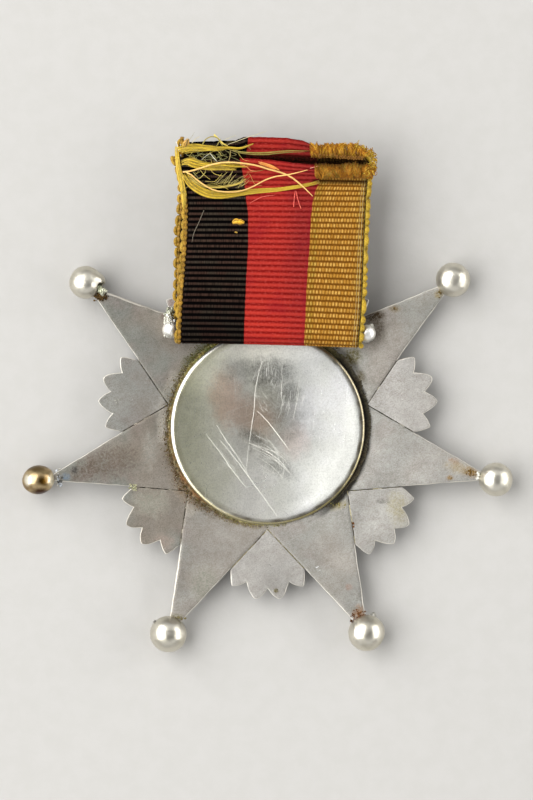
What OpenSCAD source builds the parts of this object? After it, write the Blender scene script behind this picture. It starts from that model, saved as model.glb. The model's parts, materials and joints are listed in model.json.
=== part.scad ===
// Breast star of an order, lying on its front with its back up: a flat star sheet with straight
// arms, lobed palmettes let in between them, hollow balls on the tips, a dished cap over the
// middle, and a doubled ribbon looped round a ball-ended bar.
// Millimetres. The origin is the middle of the front face that it rests on. +Z points out of the
// back, +Y runs along the arm that the ribbon covers.

/* [Star sheet] */
// Distance from the middle to where the edges of a true arm would meet
arm_reach = 38.7; // [37:0.1:41]
// Distance from the middle to the notch between two arms
notch_r = 16.9; // [16.5:0.1:18]
// Half the width of an arm's blunt end, inside its ball
arm_end_w = 0.15; // [0.1:0.05:0.3]
// Thickness of the star sheet and of the palmettes
sheet_t = 1.0; // [0.8:0.1:1.2]
// Height of the star sheet's underside, which is the height of the front boss
sheet_z = 2.7; // [2.6:0.1:3.5]

/* [Palmettes] */
// Width of the open seam between a palmette and the arms beside it
seam_w = 0.12; // [0.08:0.01:0.2]
// How sharp a lobe is: 1 gives straight sides to a point, 2 a full parabola
lobe_power = 1.5; // [1.2:0.1:2]
// Points on each side of a lobe
lobe_steps = 6; // [4:1:10]

/* [Balls] */
// Wall of a hollow ball
ball_wall = 0.45; // [0.3:0.05:0.7]
// Clearance round the arm in a ball's slot
slot_gap = 0.12; // [0.08:0.01:0.2]

/* [Back cap] */
// Outer radius of the cap
cap_r = 16.2; // [15.8:0.1:16.5]
// Height of the cap's rolled rim above the star sheet
cap_h = 1.1; // [1.1:0.05:1.3]
// Thickness of the cap's metal
cap_wall = 0.4; // [0.3:0.05:0.4]
// Depth of the dish from its edge to its middle
dish_depth = 0.38; // [0.2:0.02:0.4]
// Radius of the rolled rim's round
rim_roll = 0.38; // [0.3:0.01:0.4]

/* [Front boss] */
// Radius of the plain boss on the front
boss_r = 15.0; // [13:0.5:16]
// Width of the slope round the boss's face
boss_slope = 0.8; // [0.4:0.1:1.2]

/* [Ribbon bar] */
// Distance from the bar's middle to the centre of each ball end
bar_half = 16.3; // [16:0.1:17]
// Diameter of the rod under the ribbon
rod_d = 1.6; // [1.2:0.1:1.8]
// Diameter of the ball ends
end_ball_d = 2.75; // [2.4:0.05:2.8]
// Diameter of the short feet that carry the bar
foot_d = 1.6; // [1.2:0.1:2]
// Turn of the bar and the ribbon about the vertical, as they sit on the star
bar_turn = -1.2; // [-3:0.1:3]

/* [Ribbon] */
// Thickness of each ply
ribbon_t = 1.0; // [1:0.1:1.2]
// Inner radius of the loop round the rod
loop_r = 1.05; // [1.05:0.05:1.2]
// How far the loop hangs below the middle of the rod
loop_drop = 0.25; // [0:0.05:0.3]
// Length of the upper ply from the rod to its cut end
upper_len = 28.2; // [24:0.1:29]
// Length of the lower ply from the rod to its cut end
lower_len = 31.8; // [30:0.1:34]
// Rise of the upper ply's curled end
upper_curl = 0.9; // [0:0.1:1.5]
// Rise of the lower ply's curled end
lower_curl = 1.5; // [0:0.1:2]

/* [Hidden] */
$fn = 96;

silver = [0.74, 0.72, 0.69];
bright_silver = [0.82, 0.81, 0.79];
ribbon_red = [0.66, 0.10, 0.09];

arms = 7;
step = 360 / arms;
first_arm = 90;
half_step = step / 2;
// Angle of an arm's edge from the arm's own axis, and from the axis of the palmette beside it
arm_edge_a = atan2(notch_r * sin(half_step), arm_reach - notch_r * cos(half_step));
notch_edge_a = arm_edge_a + half_step;
sheet_top = sheet_z + sheet_t;
ball_z = sheet_z + sheet_t / 2;
// Cuts run past the faces that they cut by this much
over = 0.2;

// Arms and their balls, from the covered one at the top and on round to the left.
// Columns: ball's diameter, distance from the star's middle to the ball's centre, distance to the
// arm's blunt end, sideways shift of that end
BALL_D = 0;
BALL_R = 1;
END_R = 2;
END_SHIFT = 3;
arm_rows = [
    [5.8, 38.9, 38.2, 0],
    [5.5, 38.8, 37.9, 0.2],
    [5.4, 39.2, 37.9, 0.2],
    [6.1, 38.25, 38.2, 0],
    [6.1, 38.0, 38.2, 0],
    [5.65, 39.0, 38.2, 0],
    [5.75, 39.5, 39.2, -0.2]
];
// Angle from a palmette's axis at which an arm's edge leaves the palmette behind
shoulder_a = 15;

// Half of a palmette's lobed edge, from its middle outwards.
// Columns: angle from the palmette's axis, distance from the star's middle. Valleys and tips
// take turns, and the last row is the tip of the outer lobe, whose foot lies on the arm's edge.
lobe_rows = [
    [0, 26.9],
    [4.0, 28.6],
    [7.8, 26.0],
    [12.6, 27.1]
];
lobe_foot_a = 14.6;

// Piece broken out of the second ball, as an outline round the ball's centre seen from above.
// Columns: outwards along the arm, across the arm to its left
broken_ball = 2;
bite = [[-1.6, -1.0], [-2.05, -1.75], [-2.7, -2.4], [-4.9, 0.4], [-3.3, 1.7], [-2.7, 0.65], [-1.95, 0]];

// The bar lies clear above the cap's rim, with the loop's lower ply between them
bar_x = 0.2;
bar_y = 16.0;
rim_gap = 0.1;
bar_z = sheet_top + cap_h + rim_gap + loop_r + ribbon_t;
loop_mid_r = loop_r + ribbon_t / 2;

// The ribbon passes over the covered ball with this clearance
ball_clear = 0.15;
over_ball_y = arm_rows[0][BALL_R] - bar_y;
lower_over_z = ball_z + arm_rows[0][BALL_D] / 2 + ball_clear + ribbon_t / 2;
ply_gap = 0.15;
upper_over_z = lower_over_z + ribbon_t + ply_gap;
curl_run = 6;

// Edges of the ribbon in the bar's own frame.
// Columns: distance along the ribbon from the rod, left edge, right edge
ribbon_rows = [
    [-3, -15.2, 15.2],
    [0, -15.25, 15.25],
    [3, -15.5, 15.85],
    [10, -15.7, 16.1],
    [20, -15.9, 16.4],
    [28, -16.2, 16.5],
    [33, -16.25, 16.3]
];
ply_steps = 14;
loop_steps = 12;

function polar(r, a) = [r * cos(a), r * sin(a)];
function smooth(t) = t <= 0 ? 0 : t >= 1 ? 1 : t * t * (3 - 2 * t);

// Distance from the middle to the arm's edge line, moved off by gap, along a ray at angle a from
// the palmette's axis
function edge_r(a, gap) = (notch_r * sin(notch_edge_a) + gap) / sin(notch_edge_a - a);

// Where an arm's edge passes the foot of the palmette beside it, along and across the arm
shoulder = polar(edge_r(shoulder_a, 0), half_step - shoulder_a);

// Distance of arm row's middle line from its true axis, and half its width, at a distance x along
// that axis, between the shoulder and the blunt end
function arm_side(row, x) = row[END_SHIFT] * (x - shoulder[0]) / (row[END_R] - shoulder[0]);
function arm_half(row, x) =
    arm_end_w + (shoulder[1] - arm_end_w) * (row[END_R] - x) / (row[END_R] - shoulder[0]);

// A point given along and across arm i, in the star's frame
function on_arm(i, p) = let (a = first_arm + i * step)
    [p[0] * cos(a) - p[1] * sin(a), p[0] * sin(a) + p[1] * cos(a)];

// Outline of the star sheet: on each arm a shoulder, the two corners of the blunt end, the other
// shoulder, and then the notch before the next arm
function star_points() = [
    for (i = [0 : arms - 1])
        let (row = arm_rows[i], x = row[END_R], side = row[END_SHIFT])
            for (p = [
                on_arm(i, [shoulder[0], -shoulder[1]]),
                on_arm(i, [x, side - arm_end_w]),
                on_arm(i, [x, side + arm_end_w]),
                on_arm(i, shoulder),
                polar(notch_r, first_arm + i * step + half_step)
            ]) p
];

// One side of a lobe between a valley and a tip: the distance falls from the tip's with the
// given power of the angle
function lobe_side(tip, valley, t) = [
    tip[0] + (valley[0] - tip[0]) * t,
    tip[1] - (tip[1] - valley[1]) * pow(t, lobe_power)
];

// Half of the lobed edge, from the middle valley to the foot on the arm's edge
function half_lobes() = let (foot = [lobe_foot_a, edge_r(lobe_foot_a, seam_w)]) concat(
    [for (k = [0 : lobe_steps]) lobe_side(lobe_rows[1], lobe_rows[0], 1 - k / lobe_steps)],
    [for (k = [1 : lobe_steps]) lobe_side(lobe_rows[1], lobe_rows[2], k / lobe_steps)],
    [for (k = [1 : lobe_steps]) lobe_side(lobe_rows[3], lobe_rows[2], 1 - k / lobe_steps)],
    [for (k = [1 : lobe_steps]) lobe_side(lobe_rows[3], foot, k / lobe_steps)]
);

// Whole outline of a palmette about an axis along +X: the notch corner, then the lobes
function palmette_points() = let (half = half_lobes(), last = len(half) - 1) concat(
    [[edge_r(0, seam_w), 0]],
    [for (k = [last : -1 : 1]) polar(half[k][1], -half[k][0])],
    [for (row = half) polar(row[1], row[0])]
);

// Height of a ply's middle line at a distance y from the rod: level at the rod, sloping to its
// height over the ball, then curling up towards its cut end
function ply_z(y, start_z, over_z, end_y, curl) =
    start_z + (over_z - start_z) * smooth(y / over_ball_y)
    + curl * pow(max(0, (y - end_y + curl_run) / curl_run), 2);

// Middle line of the doubled ribbon in the plane across the bar: the upper ply from its cut end
// to the rod, half a turn round the rod, and the lower ply out to its own end
function ribbon_line() = concat(
    [for (k = [ply_steps : -1 : 0]) let (y = upper_len * k / ply_steps)
        [y, ply_z(y, bar_z + loop_mid_r, upper_over_z, upper_len, upper_curl)]],
    [for (k = [0 : loop_steps]) let (a = 90 + 180 * k / loop_steps)
        [loop_mid_r * cos(a) - loop_drop, bar_z + loop_mid_r * sin(a)]],
    [for (k = [0 : ply_steps]) let (y = lower_len * k / ply_steps)
        [y, ply_z(y, bar_z - loop_mid_r, lower_over_z, lower_len, lower_curl)]]
);

// A line moved sideways by d, along the normal of its neighbours' direction
function moved(line, d) = [
    for (i = [0 : len(line) - 1])
        let (
            dir = line[min(i + 1, len(line) - 1)] - line[max(i - 1, 0)],
            n = [-dir[1], dir[0]] / norm(dir)
        )
        line[i] + n * d
];

function reversed(list) = [for (i = [len(list) - 1 : -1 : 0]) list[i]];

module sheet(points) {
    translate([0, 0, sheet_z])
        linear_extrude(sheet_t)
            polygon(points);
}

module star_plate() {
    color(silver)
        sheet(star_points());
}

// Palmette i fills the notch after arm i
module palmette(i) {
    color(silver)
        rotate(first_arm + half_step + (i - 1) * step)
            sheet(palmette_points());
}

// Wedge along +X that clears the arm of the given row between two distances from the middle
module arm_slot(row, x_in, x_out) {
    translate([0, 0, sheet_z - slot_gap])
        linear_extrude(sheet_t + 2 * slot_gap)
            polygon([for (corner = [[x_in, -1], [x_out, -1], [x_out, 1], [x_in, 1]])
                let (x = corner[0])
                    [x, arm_side(row, x) + corner[1] * (arm_half(row, x) + slot_gap)]]);
}

// Hollow ball i on the tip of arm i, slotted for the arm
module ball(i) {
    row = arm_rows[i - 1];
    r = row[BALL_D] / 2;
    color(bright_silver)
        rotate(first_arm + (i - 1) * step)
            difference() {
                translate([row[BALL_R], 0, ball_z])
                    sphere(r = r);
                translate([row[BALL_R], 0, ball_z])
                    sphere(r = r - ball_wall);
                arm_slot(row, row[BALL_R] - r - over, row[BALL_R] - r / 2);
                if (i == broken_ball)
                    translate([row[BALL_R], 0, ball_z - r - over])
                        linear_extrude(2 * (r + over))
                            polygon(bite);
            }
}

// Half section of the cap: a dish whose height falls off with the cube of the distance from its
// edge, a crease where it meets the rolled rim, and a skirt that stands on the star sheet
module cap_section() {
    dish_steps = 12;
    roll_steps = 10;
    crease_a = 165;
    roll_x = cap_r - rim_roll;
    roll_z = cap_h - rim_roll;
    dish_r = roll_x + rim_roll * cos(crease_a);
    edge_z = roll_z + rim_roll * sin(crease_a);
    function dish_z(x) = edge_z - dish_depth * (1 - pow(x / dish_r, 3));
    polygon(concat(
        [for (k = [0 : dish_steps]) let (x = dish_r * k / dish_steps) [x, dish_z(x)]],
        [for (k = [1 : roll_steps]) let (a = crease_a * (1 - k / roll_steps))
            [roll_x + rim_roll * cos(a), roll_z + rim_roll * sin(a)]],
        [[cap_r, 0], [cap_r - cap_wall, 0], [cap_r - cap_wall, edge_z - cap_wall]],
        [for (k = [dish_steps : -1 : 0]) let (x = dish_r * k / dish_steps) [x, dish_z(x) - cap_wall]]
    ));
}

module back_cap() {
    color(bright_silver)
        translate([0, 0, sheet_top])
            rotate_extrude()
                cap_section();
}

module front_boss() {
    color(silver)
        rotate_extrude()
            polygon([
                [0, 0],
                [boss_r - boss_slope, 0],
                [boss_r, boss_slope],
                [boss_r, sheet_z],
                [0, sheet_z]
            ]);
}

// Places its children in the bar's own frame: the bar along X, the ribbon along Y
module bar_frame() {
    translate([bar_x, bar_y, 0])
        rotate(bar_turn)
            children();
}

module suspension_bar() {
    color(bright_silver)
        bar_frame() {
            translate([-bar_half, 0, bar_z])
                rotate([0, 90, 0])
                    cylinder(d = rod_d, h = 2 * bar_half);
            for (side = [-1, 1]) {
                translate([side * bar_half, 0, bar_z])
                    sphere(d = end_ball_d);
                translate([side * bar_half, 0, sheet_top])
                    cylinder(d = foot_d, h = bar_z - sheet_top);
            }
        }
}

module ribbon() {
    line = ribbon_line();
    wall = concat(moved(line, ribbon_t / 2), reversed(moved(line, -ribbon_t / 2)));
    widest = 20;
    color(ribbon_red)
        bar_frame()
            intersection() {
                translate([-widest, 0, 0])
                    rotate([90, 0, 90])
                        linear_extrude(2 * widest)
                            polygon(wall);
                linear_extrude(widest)
                    polygon(concat(
                        [for (row = ribbon_rows) [row[2], row[0]]],
                        reversed([for (row = ribbon_rows) [row[1], row[0]]])
                    ));
            }
}

star_plate();
for (i = [1 : arms]) palmette(i);
for (i = [1 : arms]) ball(i);
back_cap();
front_boss();
suspension_bar();
ribbon();
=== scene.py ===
import json
import logging
import math
from dataclasses import dataclass, field
from enum import Enum

import bpy
import numpy as np
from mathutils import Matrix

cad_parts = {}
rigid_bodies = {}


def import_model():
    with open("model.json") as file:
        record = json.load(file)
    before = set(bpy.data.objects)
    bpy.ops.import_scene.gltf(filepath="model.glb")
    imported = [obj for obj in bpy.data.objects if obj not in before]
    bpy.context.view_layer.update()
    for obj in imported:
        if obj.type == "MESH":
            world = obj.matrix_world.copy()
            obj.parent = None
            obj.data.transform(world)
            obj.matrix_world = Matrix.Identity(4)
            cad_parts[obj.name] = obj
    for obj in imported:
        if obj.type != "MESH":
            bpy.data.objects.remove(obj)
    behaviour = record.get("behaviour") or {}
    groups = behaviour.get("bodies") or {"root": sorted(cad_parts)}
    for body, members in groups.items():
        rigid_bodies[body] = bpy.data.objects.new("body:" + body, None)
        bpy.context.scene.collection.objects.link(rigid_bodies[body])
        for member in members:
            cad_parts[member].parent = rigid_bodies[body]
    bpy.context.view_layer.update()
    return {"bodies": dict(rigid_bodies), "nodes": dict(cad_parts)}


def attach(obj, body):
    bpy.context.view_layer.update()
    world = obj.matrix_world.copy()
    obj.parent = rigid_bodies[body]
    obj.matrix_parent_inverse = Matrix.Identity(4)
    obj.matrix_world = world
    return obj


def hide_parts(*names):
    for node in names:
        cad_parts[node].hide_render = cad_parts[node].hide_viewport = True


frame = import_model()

log = logging.getLogger("star")
MM = 0.001
SHEET_TOP = 3.7
Array = np.ndarray
Colour = tuple[float, float, float]


def tone(red: float, green: float, blue: float) -> Colour:
    """Linear colour of a screen colour given from 0 to 255."""
    return tuple(((c / 255 + 0.055) / 1.055) ** 2.4 if c > 10 else c / 3295 for c in (red, green, blue))


def ease(value: Array, low: float, high: float) -> Array:
    """Smooth step from 0 at low to 1 at high."""
    t = np.clip((np.asarray(value, float) - low) / (high - low), 0, 1)
    return t * t * (3 - 2 * t)


def ripple(points: Array, size: float, seed: int, waves: int = 9) -> Array:
    """Smooth random height of about -1 to 1.

    The sum of sine waves in random directions, with wavelengths around size.

    Args:
        points: places, with the coordinates on the last axis.
        size: the mean wavelength.
        seed: seed of the directions, lengths and phases.
        waves: how many waves are summed.

    Returns:
        One height for each place.
    """
    rng = np.random.default_rng(seed)
    points = np.asarray(points, float)
    ways = rng.normal(size=(waves, points.shape[-1]))
    ways *= (2 * math.pi / size * rng.uniform(0.6, 1.6, waves) / np.linalg.norm(ways, axis=1))[:, None]
    return np.sin(points @ ways.T + rng.uniform(0, 2 * math.pi, waves)).sum(-1) * 1.1 / math.sqrt(waves)


def flowing(points: list[tuple] | Array, count: int) -> Array:
    """Smooth line through points.

    Between two points it is the cubic whose slope at each point is that of its two neighbours.

    Args:
        points: the places that it passes.
        count: how many places to return, evenly spaced by the straight distance.

    Returns:
        An array of count rows.
    """
    p = np.asarray(points, float)
    far = np.concatenate([[0], np.cumsum(np.linalg.norm(np.diff(p, axis=0), axis=1))])
    slope = np.gradient(p, far, axis=0)
    t = np.linspace(0, far[-1], count)
    k = np.clip(np.searchsorted(far, t, "right") - 1, 0, len(p) - 2)
    gap = (far[k + 1] - far[k])[:, None]
    s = ((t - far[k]) / gap[:, 0])[:, None]
    return ((2 * s**3 - 3 * s**2 + 1) * p[k] + (s**3 - 2 * s**2 + s) * gap * slope[k]
            + (3 * s**2 - 2 * s**3) * p[k + 1] + (s**3 - s**2) * gap * slope[k + 1])


def unit(vectors: Array) -> Array:
    """The vectors, each of length one."""
    return vectors / np.maximum(np.linalg.norm(vectors, axis=-1, keepdims=True), 1e-9)


def tube(paths: Array, radii: Array | float, sides: int = 6) -> Array:
    """Round threads along paths.

    Each ring lies square to its path: place + radius * (cos(angle) * side + sin(angle) * up).

    Args:
        paths: (threads, places, 3).
        radii: radius at each place.
        sides: corners of a ring.

    Returns:
        Grids of (threads, places, sides, 3).
    """
    run = unit(np.gradient(paths, axis=1))
    side = unit(np.cross(run, [0.03, 0.05, 1.0]))
    up = np.cross(side, run)
    turn = np.linspace(0, 2 * math.pi, sides, endpoint=False)[:, None]
    radii = np.broadcast_to(np.asarray(radii, float), paths.shape[:2])[..., None, None]
    return paths[:, :, None] + radii * (np.cos(turn) * side[:, :, None] + np.sin(turn) * up[:, :, None])


def pebbles(middles: Array, sizes: Array, seed: int, rough: float = 0.22, rings: int = 7, sides: int = 9) -> Array:
    """Rough lumps.

    A sphere on two angles, scaled along each axis, with its radius pushed in and out by random waves.

    Args:
        middles: (lumps, 3).
        sizes: half sizes, (lumps, 3).
        seed: seed of the waves.
        rough: share of the radius that the waves move.
        rings: rings between the poles.
        sides: corners of a ring.

    Returns:
        Grids of (lumps, rings, sides, 3).
    """
    rng = np.random.default_rng(seed)
    down = np.linspace(0.18, math.pi - 0.18, rings)[:, None]
    turn = np.linspace(0, 2 * math.pi, sides, endpoint=False)[None, :]
    ball = np.stack([np.sin(down) * np.cos(turn), np.sin(down) * np.sin(turn), np.cos(down) + 0 * turn], -1)
    shift = rng.uniform(-9, 9, (len(middles), 1, 1, 3))
    swell = 1 + rough * ripple(ball[None] + shift, 1.5, seed)
    return np.asarray(middles)[:, None, None] + ball[None] * swell[..., None] * np.asarray(sizes)[:, None, None]


@dataclass
class Shell:
    """Grids of points in millimetres, gathered into one piece with closed ends."""

    name: str
    points: list[Array] = field(default_factory=list)
    faces: list[Array] = field(default_factory=list)
    marks: dict[str, list[Array]] = field(default_factory=dict)
    total: int = 0

    def add(self, grid: Array, lids: bool = True, zipped: bool = False, loop: bool = False, **marks: Array) -> None:
        """Adds grids of the same size, each with its last column joined to its first.

        Args:
            grid: (..., rows, columns, 3).
            lids: the first and last rows are closed with a fan each.
            zipped: the first and last rows are closed by joining column j to column -1 - j.
            loop: the last row joins the first.
            marks: values or colours for each point of the grid, kept as attributes.
        """
        rows, columns = grid.shape[-3:-1]
        many = grid.reshape(-1, rows, columns, 3)
        at = np.arange(rows * columns).reshape(rows, columns)
        after = np.roll(at, -1, axis=1)
        above = slice(None) if loop else slice(None, -1)
        below, after_below = np.roll(at, -1, axis=0)[above], np.roll(after, -1, axis=0)[above]
        quads = np.stack([at[above], after[above], after_below, below], -1).reshape(-1, 4)
        if zipped:
            half = columns // 2
            back = at[:, ::-1]
            ends = [np.stack([back[0, :half - 1], back[0, 1:half], at[0, 1:half], at[0, :half - 1]], -1),
                    np.stack([at[-1, :half - 1], at[-1, 1:half], back[-1, 1:half], back[-1, :half - 1]], -1)]
            quads = np.concatenate([quads, *ends])
        groups = [quads]
        flat = many.reshape(len(many), -1, 3)
        if lids:
            flat = np.concatenate([flat, many[:, 0].mean(1, keepdims=True), many[:, -1].mean(1, keepdims=True)], 1)
            first, final = rows * columns, rows * columns + 1
            groups.append(np.stack([after[0], at[0], np.full(columns, first)], -1))
            groups.append(np.stack([at[-1], after[-1], np.full(columns, final)], -1))
        p = flat[:, np.concatenate([g[:, :3] for g in groups])]
        q = flat[:, quads[:, [0, 2, 3]]]
        volume = sum(np.einsum("...i,...i", t[:, :, 0], np.cross(t[:, :, 1], t[:, :, 2])).sum() for t in (p, q))
        if volume < 0:
            groups = [g[:, ::-1] for g in groups]
        start = self.total + np.arange(len(many)) * flat.shape[1]
        self.faces += [(g[None] + start[:, None, None]).reshape(-1, g.shape[1]) for g in groups]
        self.points.append(flat.reshape(-1, 3))
        self.total += flat.shape[0] * flat.shape[1]
        for name, value in marks.items():
            value = np.asarray(value, float)
            width = 3 if value.ndim and value.shape[-1] == 3 and value.ndim != len(grid.shape) - 1 else 1
            shape = (*grid.shape[:-1], 3) if width == 3 else grid.shape[:-1]
            full = np.broadcast_to(value, shape).reshape(len(many), rows * columns, -1)
            if lids:
                ends = [full[:, :columns].mean(1, keepdims=True), full[:, -columns:].mean(1, keepdims=True)]
                full = np.concatenate([full, *ends], 1)
            self.marks.setdefault(name, []).append(full.reshape(-1, full.shape[-1]))

    def build(self, finish: bpy.types.Material, *nodes: str, slot: str = "") -> bpy.types.Object:
        """Makes the piece, dresses it and lets it ride on the row's one body.

        Args:
            finish: the material that it wears.
            nodes: the CAD nodes that it stands for.
            slot: not used.

        Returns:
            The finished object.
        """
        mesh = bpy.data.meshes.new(self.name)
        faces = [row for group in self.faces for row in group.tolist()]
        mesh.from_pydata((np.concatenate(self.points) * MM).tolist(), [], faces)
        mesh.polygons.foreach_set("use_smooth", np.ones(len(mesh.polygons), bool))
        for name, values in self.marks.items():
            data = np.concatenate(values)
            colour = data.shape[1] == 3
            mark = mesh.attributes.new(name, "FLOAT_COLOR" if colour else "FLOAT", "POINT")
            if colour:
                data = np.concatenate([data, np.ones((len(data), 1))], 1)
            mark.data.foreach_set("color" if colour else "value", data.astype(np.float32).ravel())
        mesh.materials.append(finish)
        mesh.update()
        piece = bpy.data.objects.new(self.name, mesh)
        bpy.context.scene.collection.objects.link(piece)
        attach(piece, next(iter(frame["bodies"])))
        if nodes:
            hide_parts(*nodes)
        log.info("%s: %d points, %d faces", self.name, len(mesh.vertices), len(mesh.polygons))
        return piece


class Value:
    """A shader value. Operators on it add Math nodes."""

    def __init__(self, recipe: "Recipe", socket: bpy.types.NodeSocket) -> None:
        """Wraps a socket of a recipe's tree."""
        self.recipe, self.socket = recipe, socket

    def maths(self, operation: str, *others: "Value | float", swap: bool = False) -> "Value":
        """The Math node of that operation on this value and the others."""
        terms = [self, *others]
        return self.recipe.node("Math", {"operation": operation}, dict(enumerate(terms[::-1] if swap else terms)))

    def __add__(self, other: "Value | float") -> "Value":
        """Sum."""
        return self.maths("ADD", other)

    __radd__ = __add__

    def __mul__(self, other: "Value | float") -> "Value":
        """Product."""
        return self.maths("MULTIPLY", other)

    __rmul__ = __mul__

    def __sub__(self, other: "Value | float") -> "Value":
        """Difference."""
        return self.maths("SUBTRACT", other)

    def __rsub__(self, other: float) -> "Value":
        """Difference from a number."""
        return self.maths("SUBTRACT", other, swap=True)

    def __abs__(self) -> "Value":
        """Size without its sign."""
        return self.maths("ABSOLUTE")

    def larger(self, other: "Value") -> "Value":
        """The larger of two values."""
        return self.maths("MAXIMUM", other)

    def step(self, low: float, high: float) -> "Value":
        """Smooth step, which falls where low is the larger.

        Args:
            low: the value where the step is 0.
            high: the value where it is 1.

        Returns:
            The stepped value.
        """
        turn = low > high
        values = {"Value": self, "From Min": min(low, high), "From Max": max(low, high),
                  "To Min": float(turn), "To Max": float(not turn)}
        return self.recipe.node("MapRange", {"interpolation_type": "SMOOTHSTEP"}, values)


class Blend(Enum):
    """How one colour is laid over another."""

    COVER = "MIX"
    DARKEN = "MULTIPLY"


class Recipe:
    """The node tree of one finish."""

    def __init__(self, name: str) -> None:
        """Starts a material with a Principled shader.

        Args:
            name: the material's name.
        """
        self.material = bpy.data.materials.new(name)
        self.material.use_nodes = True
        self.tree = self.material.node_tree
        self.shader = next(n for n in self.tree.nodes if n.type == "BSDF_PRINCIPLED")
        self.place = self.node("TexCoord", out="Object")

    def node(self, kind: str, settings: dict | None = None, values: dict | None = None, out: int | str = 0) -> Value:
        """Adds a node.

        Args:
            kind: the node's type, without its prefix.
            settings: its own settings, set first.
            values: numbers, colours or values for its inputs, by name or number.
            out: which output is wanted.

        Returns:
            That output.
        """
        made = self.tree.nodes.new("ShaderNode" + kind)
        for name, value in (settings or {}).items():
            setattr(made, name, value)
        for name, value in (values or {}).items():
            self.feed(made.inputs[name], value)
        return Value(self, made.outputs[out])

    def feed(self, socket: bpy.types.NodeSocket, value: "Value | float | tuple") -> None:
        """Links or sets one input.

        Args:
            socket: the input.
            value: a value to link, or a number or colour to set.
        """
        if isinstance(value, Value):
            self.tree.links.new(value.socket, socket)
        elif isinstance(value, tuple) and socket.type == "RGBA":
            socket.default_value = (*value[:3], 1)
        else:
            socket.default_value = value

    def noise(self, size: float, detail: float = 3, rough: float = 0.55) -> Value:
        """Cloudy noise with features of about that size in millimetres."""
        values = {"Vector": self.place, "Scale": 1 / (size * MM), "Detail": detail, "Roughness": rough}
        return self.node("TexNoise", values=values)

    def drawn(self, place: Value, detail: float) -> Value:
        """Noise over coordinates of its own, with features of about one unit."""
        return self.node("TexNoise", values={"Vector": place, "Scale": 1.0, "Detail": detail})

    def cells(self, x: Value | float, y: Value, detail: float) -> Value:
        """Noise over two values of a weave."""
        return self.drawn(self.node("CombineXYZ", values={0: x, 1: y}), detail)

    def along(self, axis: int) -> Value:
        """Place along one axis of the star, in metres."""
        return self.node("SeparateXYZ", values={0: self.place}, out=axis)

    def from_middle(self) -> Value:
        """Distance from the star's middle, seen from above, in metres."""
        flat = self.node("VectorMath", {"operation": "MULTIPLY"}, {0: self.place, 1: (1.0, 1.0, 0.0)})
        return self.node("VectorMath", {"operation": "LENGTH"}, {0: flat}, out="Value")

    def placed(self, at: tuple[float, float], size: tuple[float, float], turn: float) -> Value:
        """Coordinates about a place on the star, turned, and measured in half sizes.

        Args:
            at: the place in millimetres.
            size: the half sizes in millimetres.
            turn: the turn in degrees.

        Returns:
            The coordinates, which are one long at the edge of that oval.
        """
        c, s = math.cos(math.radians(turn)), math.sin(math.radians(turn))
        x, y = at
        shift = ((-x * c - y * s) / size[0], (x * s - y * c) / size[1], 0.0)
        scale = (1 / (size[0] * MM), 1 / (size[1] * MM), 1.0)
        rotation = (0.0, 0.0, -math.radians(turn))
        spun = self.node("Mapping", values={"Vector": self.place, "Rotation": rotation})
        return self.node("Mapping", values={"Vector": spun, "Location": shift, "Scale": scale})

    def brushed(self, turn: float, seed: int) -> Value:
        """Short brush strokes in one direction: noise stretched along it."""
        stretched = self.placed((seed * 2.3, seed * 1.1), (0.9, 0.13), turn)
        return self.node("TexNoise", values={"Vector": stretched, "Scale": 1.0, "Detail": 3.0, "Roughness": 0.6})

    def scratched(self, turn: float, seed: int) -> Value:
        """Fine scratches in one direction: noise stretched far along it, of which only the peaks show."""
        return self.drawn(self.placed((seed * 3.1, seed * 1.7), (9.0, 0.16), turn), 1.0).step(0.62, 0.76)

    def spot(self, at: tuple[float, float], size: tuple[float, float], turn: float = 0.0, ragged: float = 0.0,
             cloud: Value | None = None) -> Value:
        """Soft oval spot: 1 in its middle, 0 at its edge.

        Args:
            at: its middle in the picture.
            size: its half sizes in the picture.
            turn: its turn in degrees.
            ragged: how far the cloud moves its edge, as a share of its size.
            cloud: noise for a ragged edge.

        Returns:
            The spot.
        """
        halves = (size[0] / PICTURE.per_mm, size[1] / PICTURE.per_mm)
        place = self.placed(PICTURE.flat(*at), halves, turn)
        far = self.node("VectorMath", {"operation": "LENGTH"}, {0: place}, out="Value")
        if cloud is not None:
            far = far + (cloud - 0.5) * ragged
        return far.step(1.0, 0.25)

    def stained(self, colour: Value, stains: "tuple[Stain, ...]", cloud: Value) -> Value:
        """Lays stains over a colour.

        Args:
            colour: the colour under them.
            stains: the stains, in order.
            cloud: noise for their ragged edges.

        Returns:
            The stained colour.
        """
        for stain in stains:
            spot = self.spot(stain.at, stain.size, stain.turn, stain.ragged, cloud)
            colour = self.blend(spot * stain.share, colour, stain.colour)
        return colour

    def blend(self, share: Value | float, below: Value | Colour, above: Value | Colour,
              how: Blend = Blend.COVER) -> Value:
        """Lays one colour over another by a share."""
        settings = {"data_type": "RGBA", "blend_type": how.value, "clamp_factor": True}
        return self.node("Mix", settings, {0: share, 6: below, 7: above}, out=2)

    def mark(self, name: str, colour: bool = False) -> Value:
        """An attribute of the piece, as a value or a colour."""
        settings = {"attribute_type": "GEOMETRY", "attribute_name": name}
        return self.node("Attribute", settings, out="Color" if colour else "Fac")

    def bump(self, height: Value, depth: float, under: Value | None = None) -> Value:
        """Normal of a relief.

        Args:
            height: the relief, from 0 to 1.
            depth: its full height in millimetres.
            under: the normal of a larger form under it.

        Returns:
            The normal.
        """
        values = {"Height": height, "Distance": depth * MM}
        if under is not None:
            values["Normal"] = under
        return self.node("Bump", values=values)

    def finish(self, **inputs: "Value | float | Colour") -> bpy.types.Material:
        """Feeds the shader.

        Args:
            inputs: its inputs, named with underscores for spaces.

        Returns:
            The finished material.
        """
        for name, value in inputs.items():
            self.feed(self.shader.inputs[name.replace("_", " ")], value)
        return self.material


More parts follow.
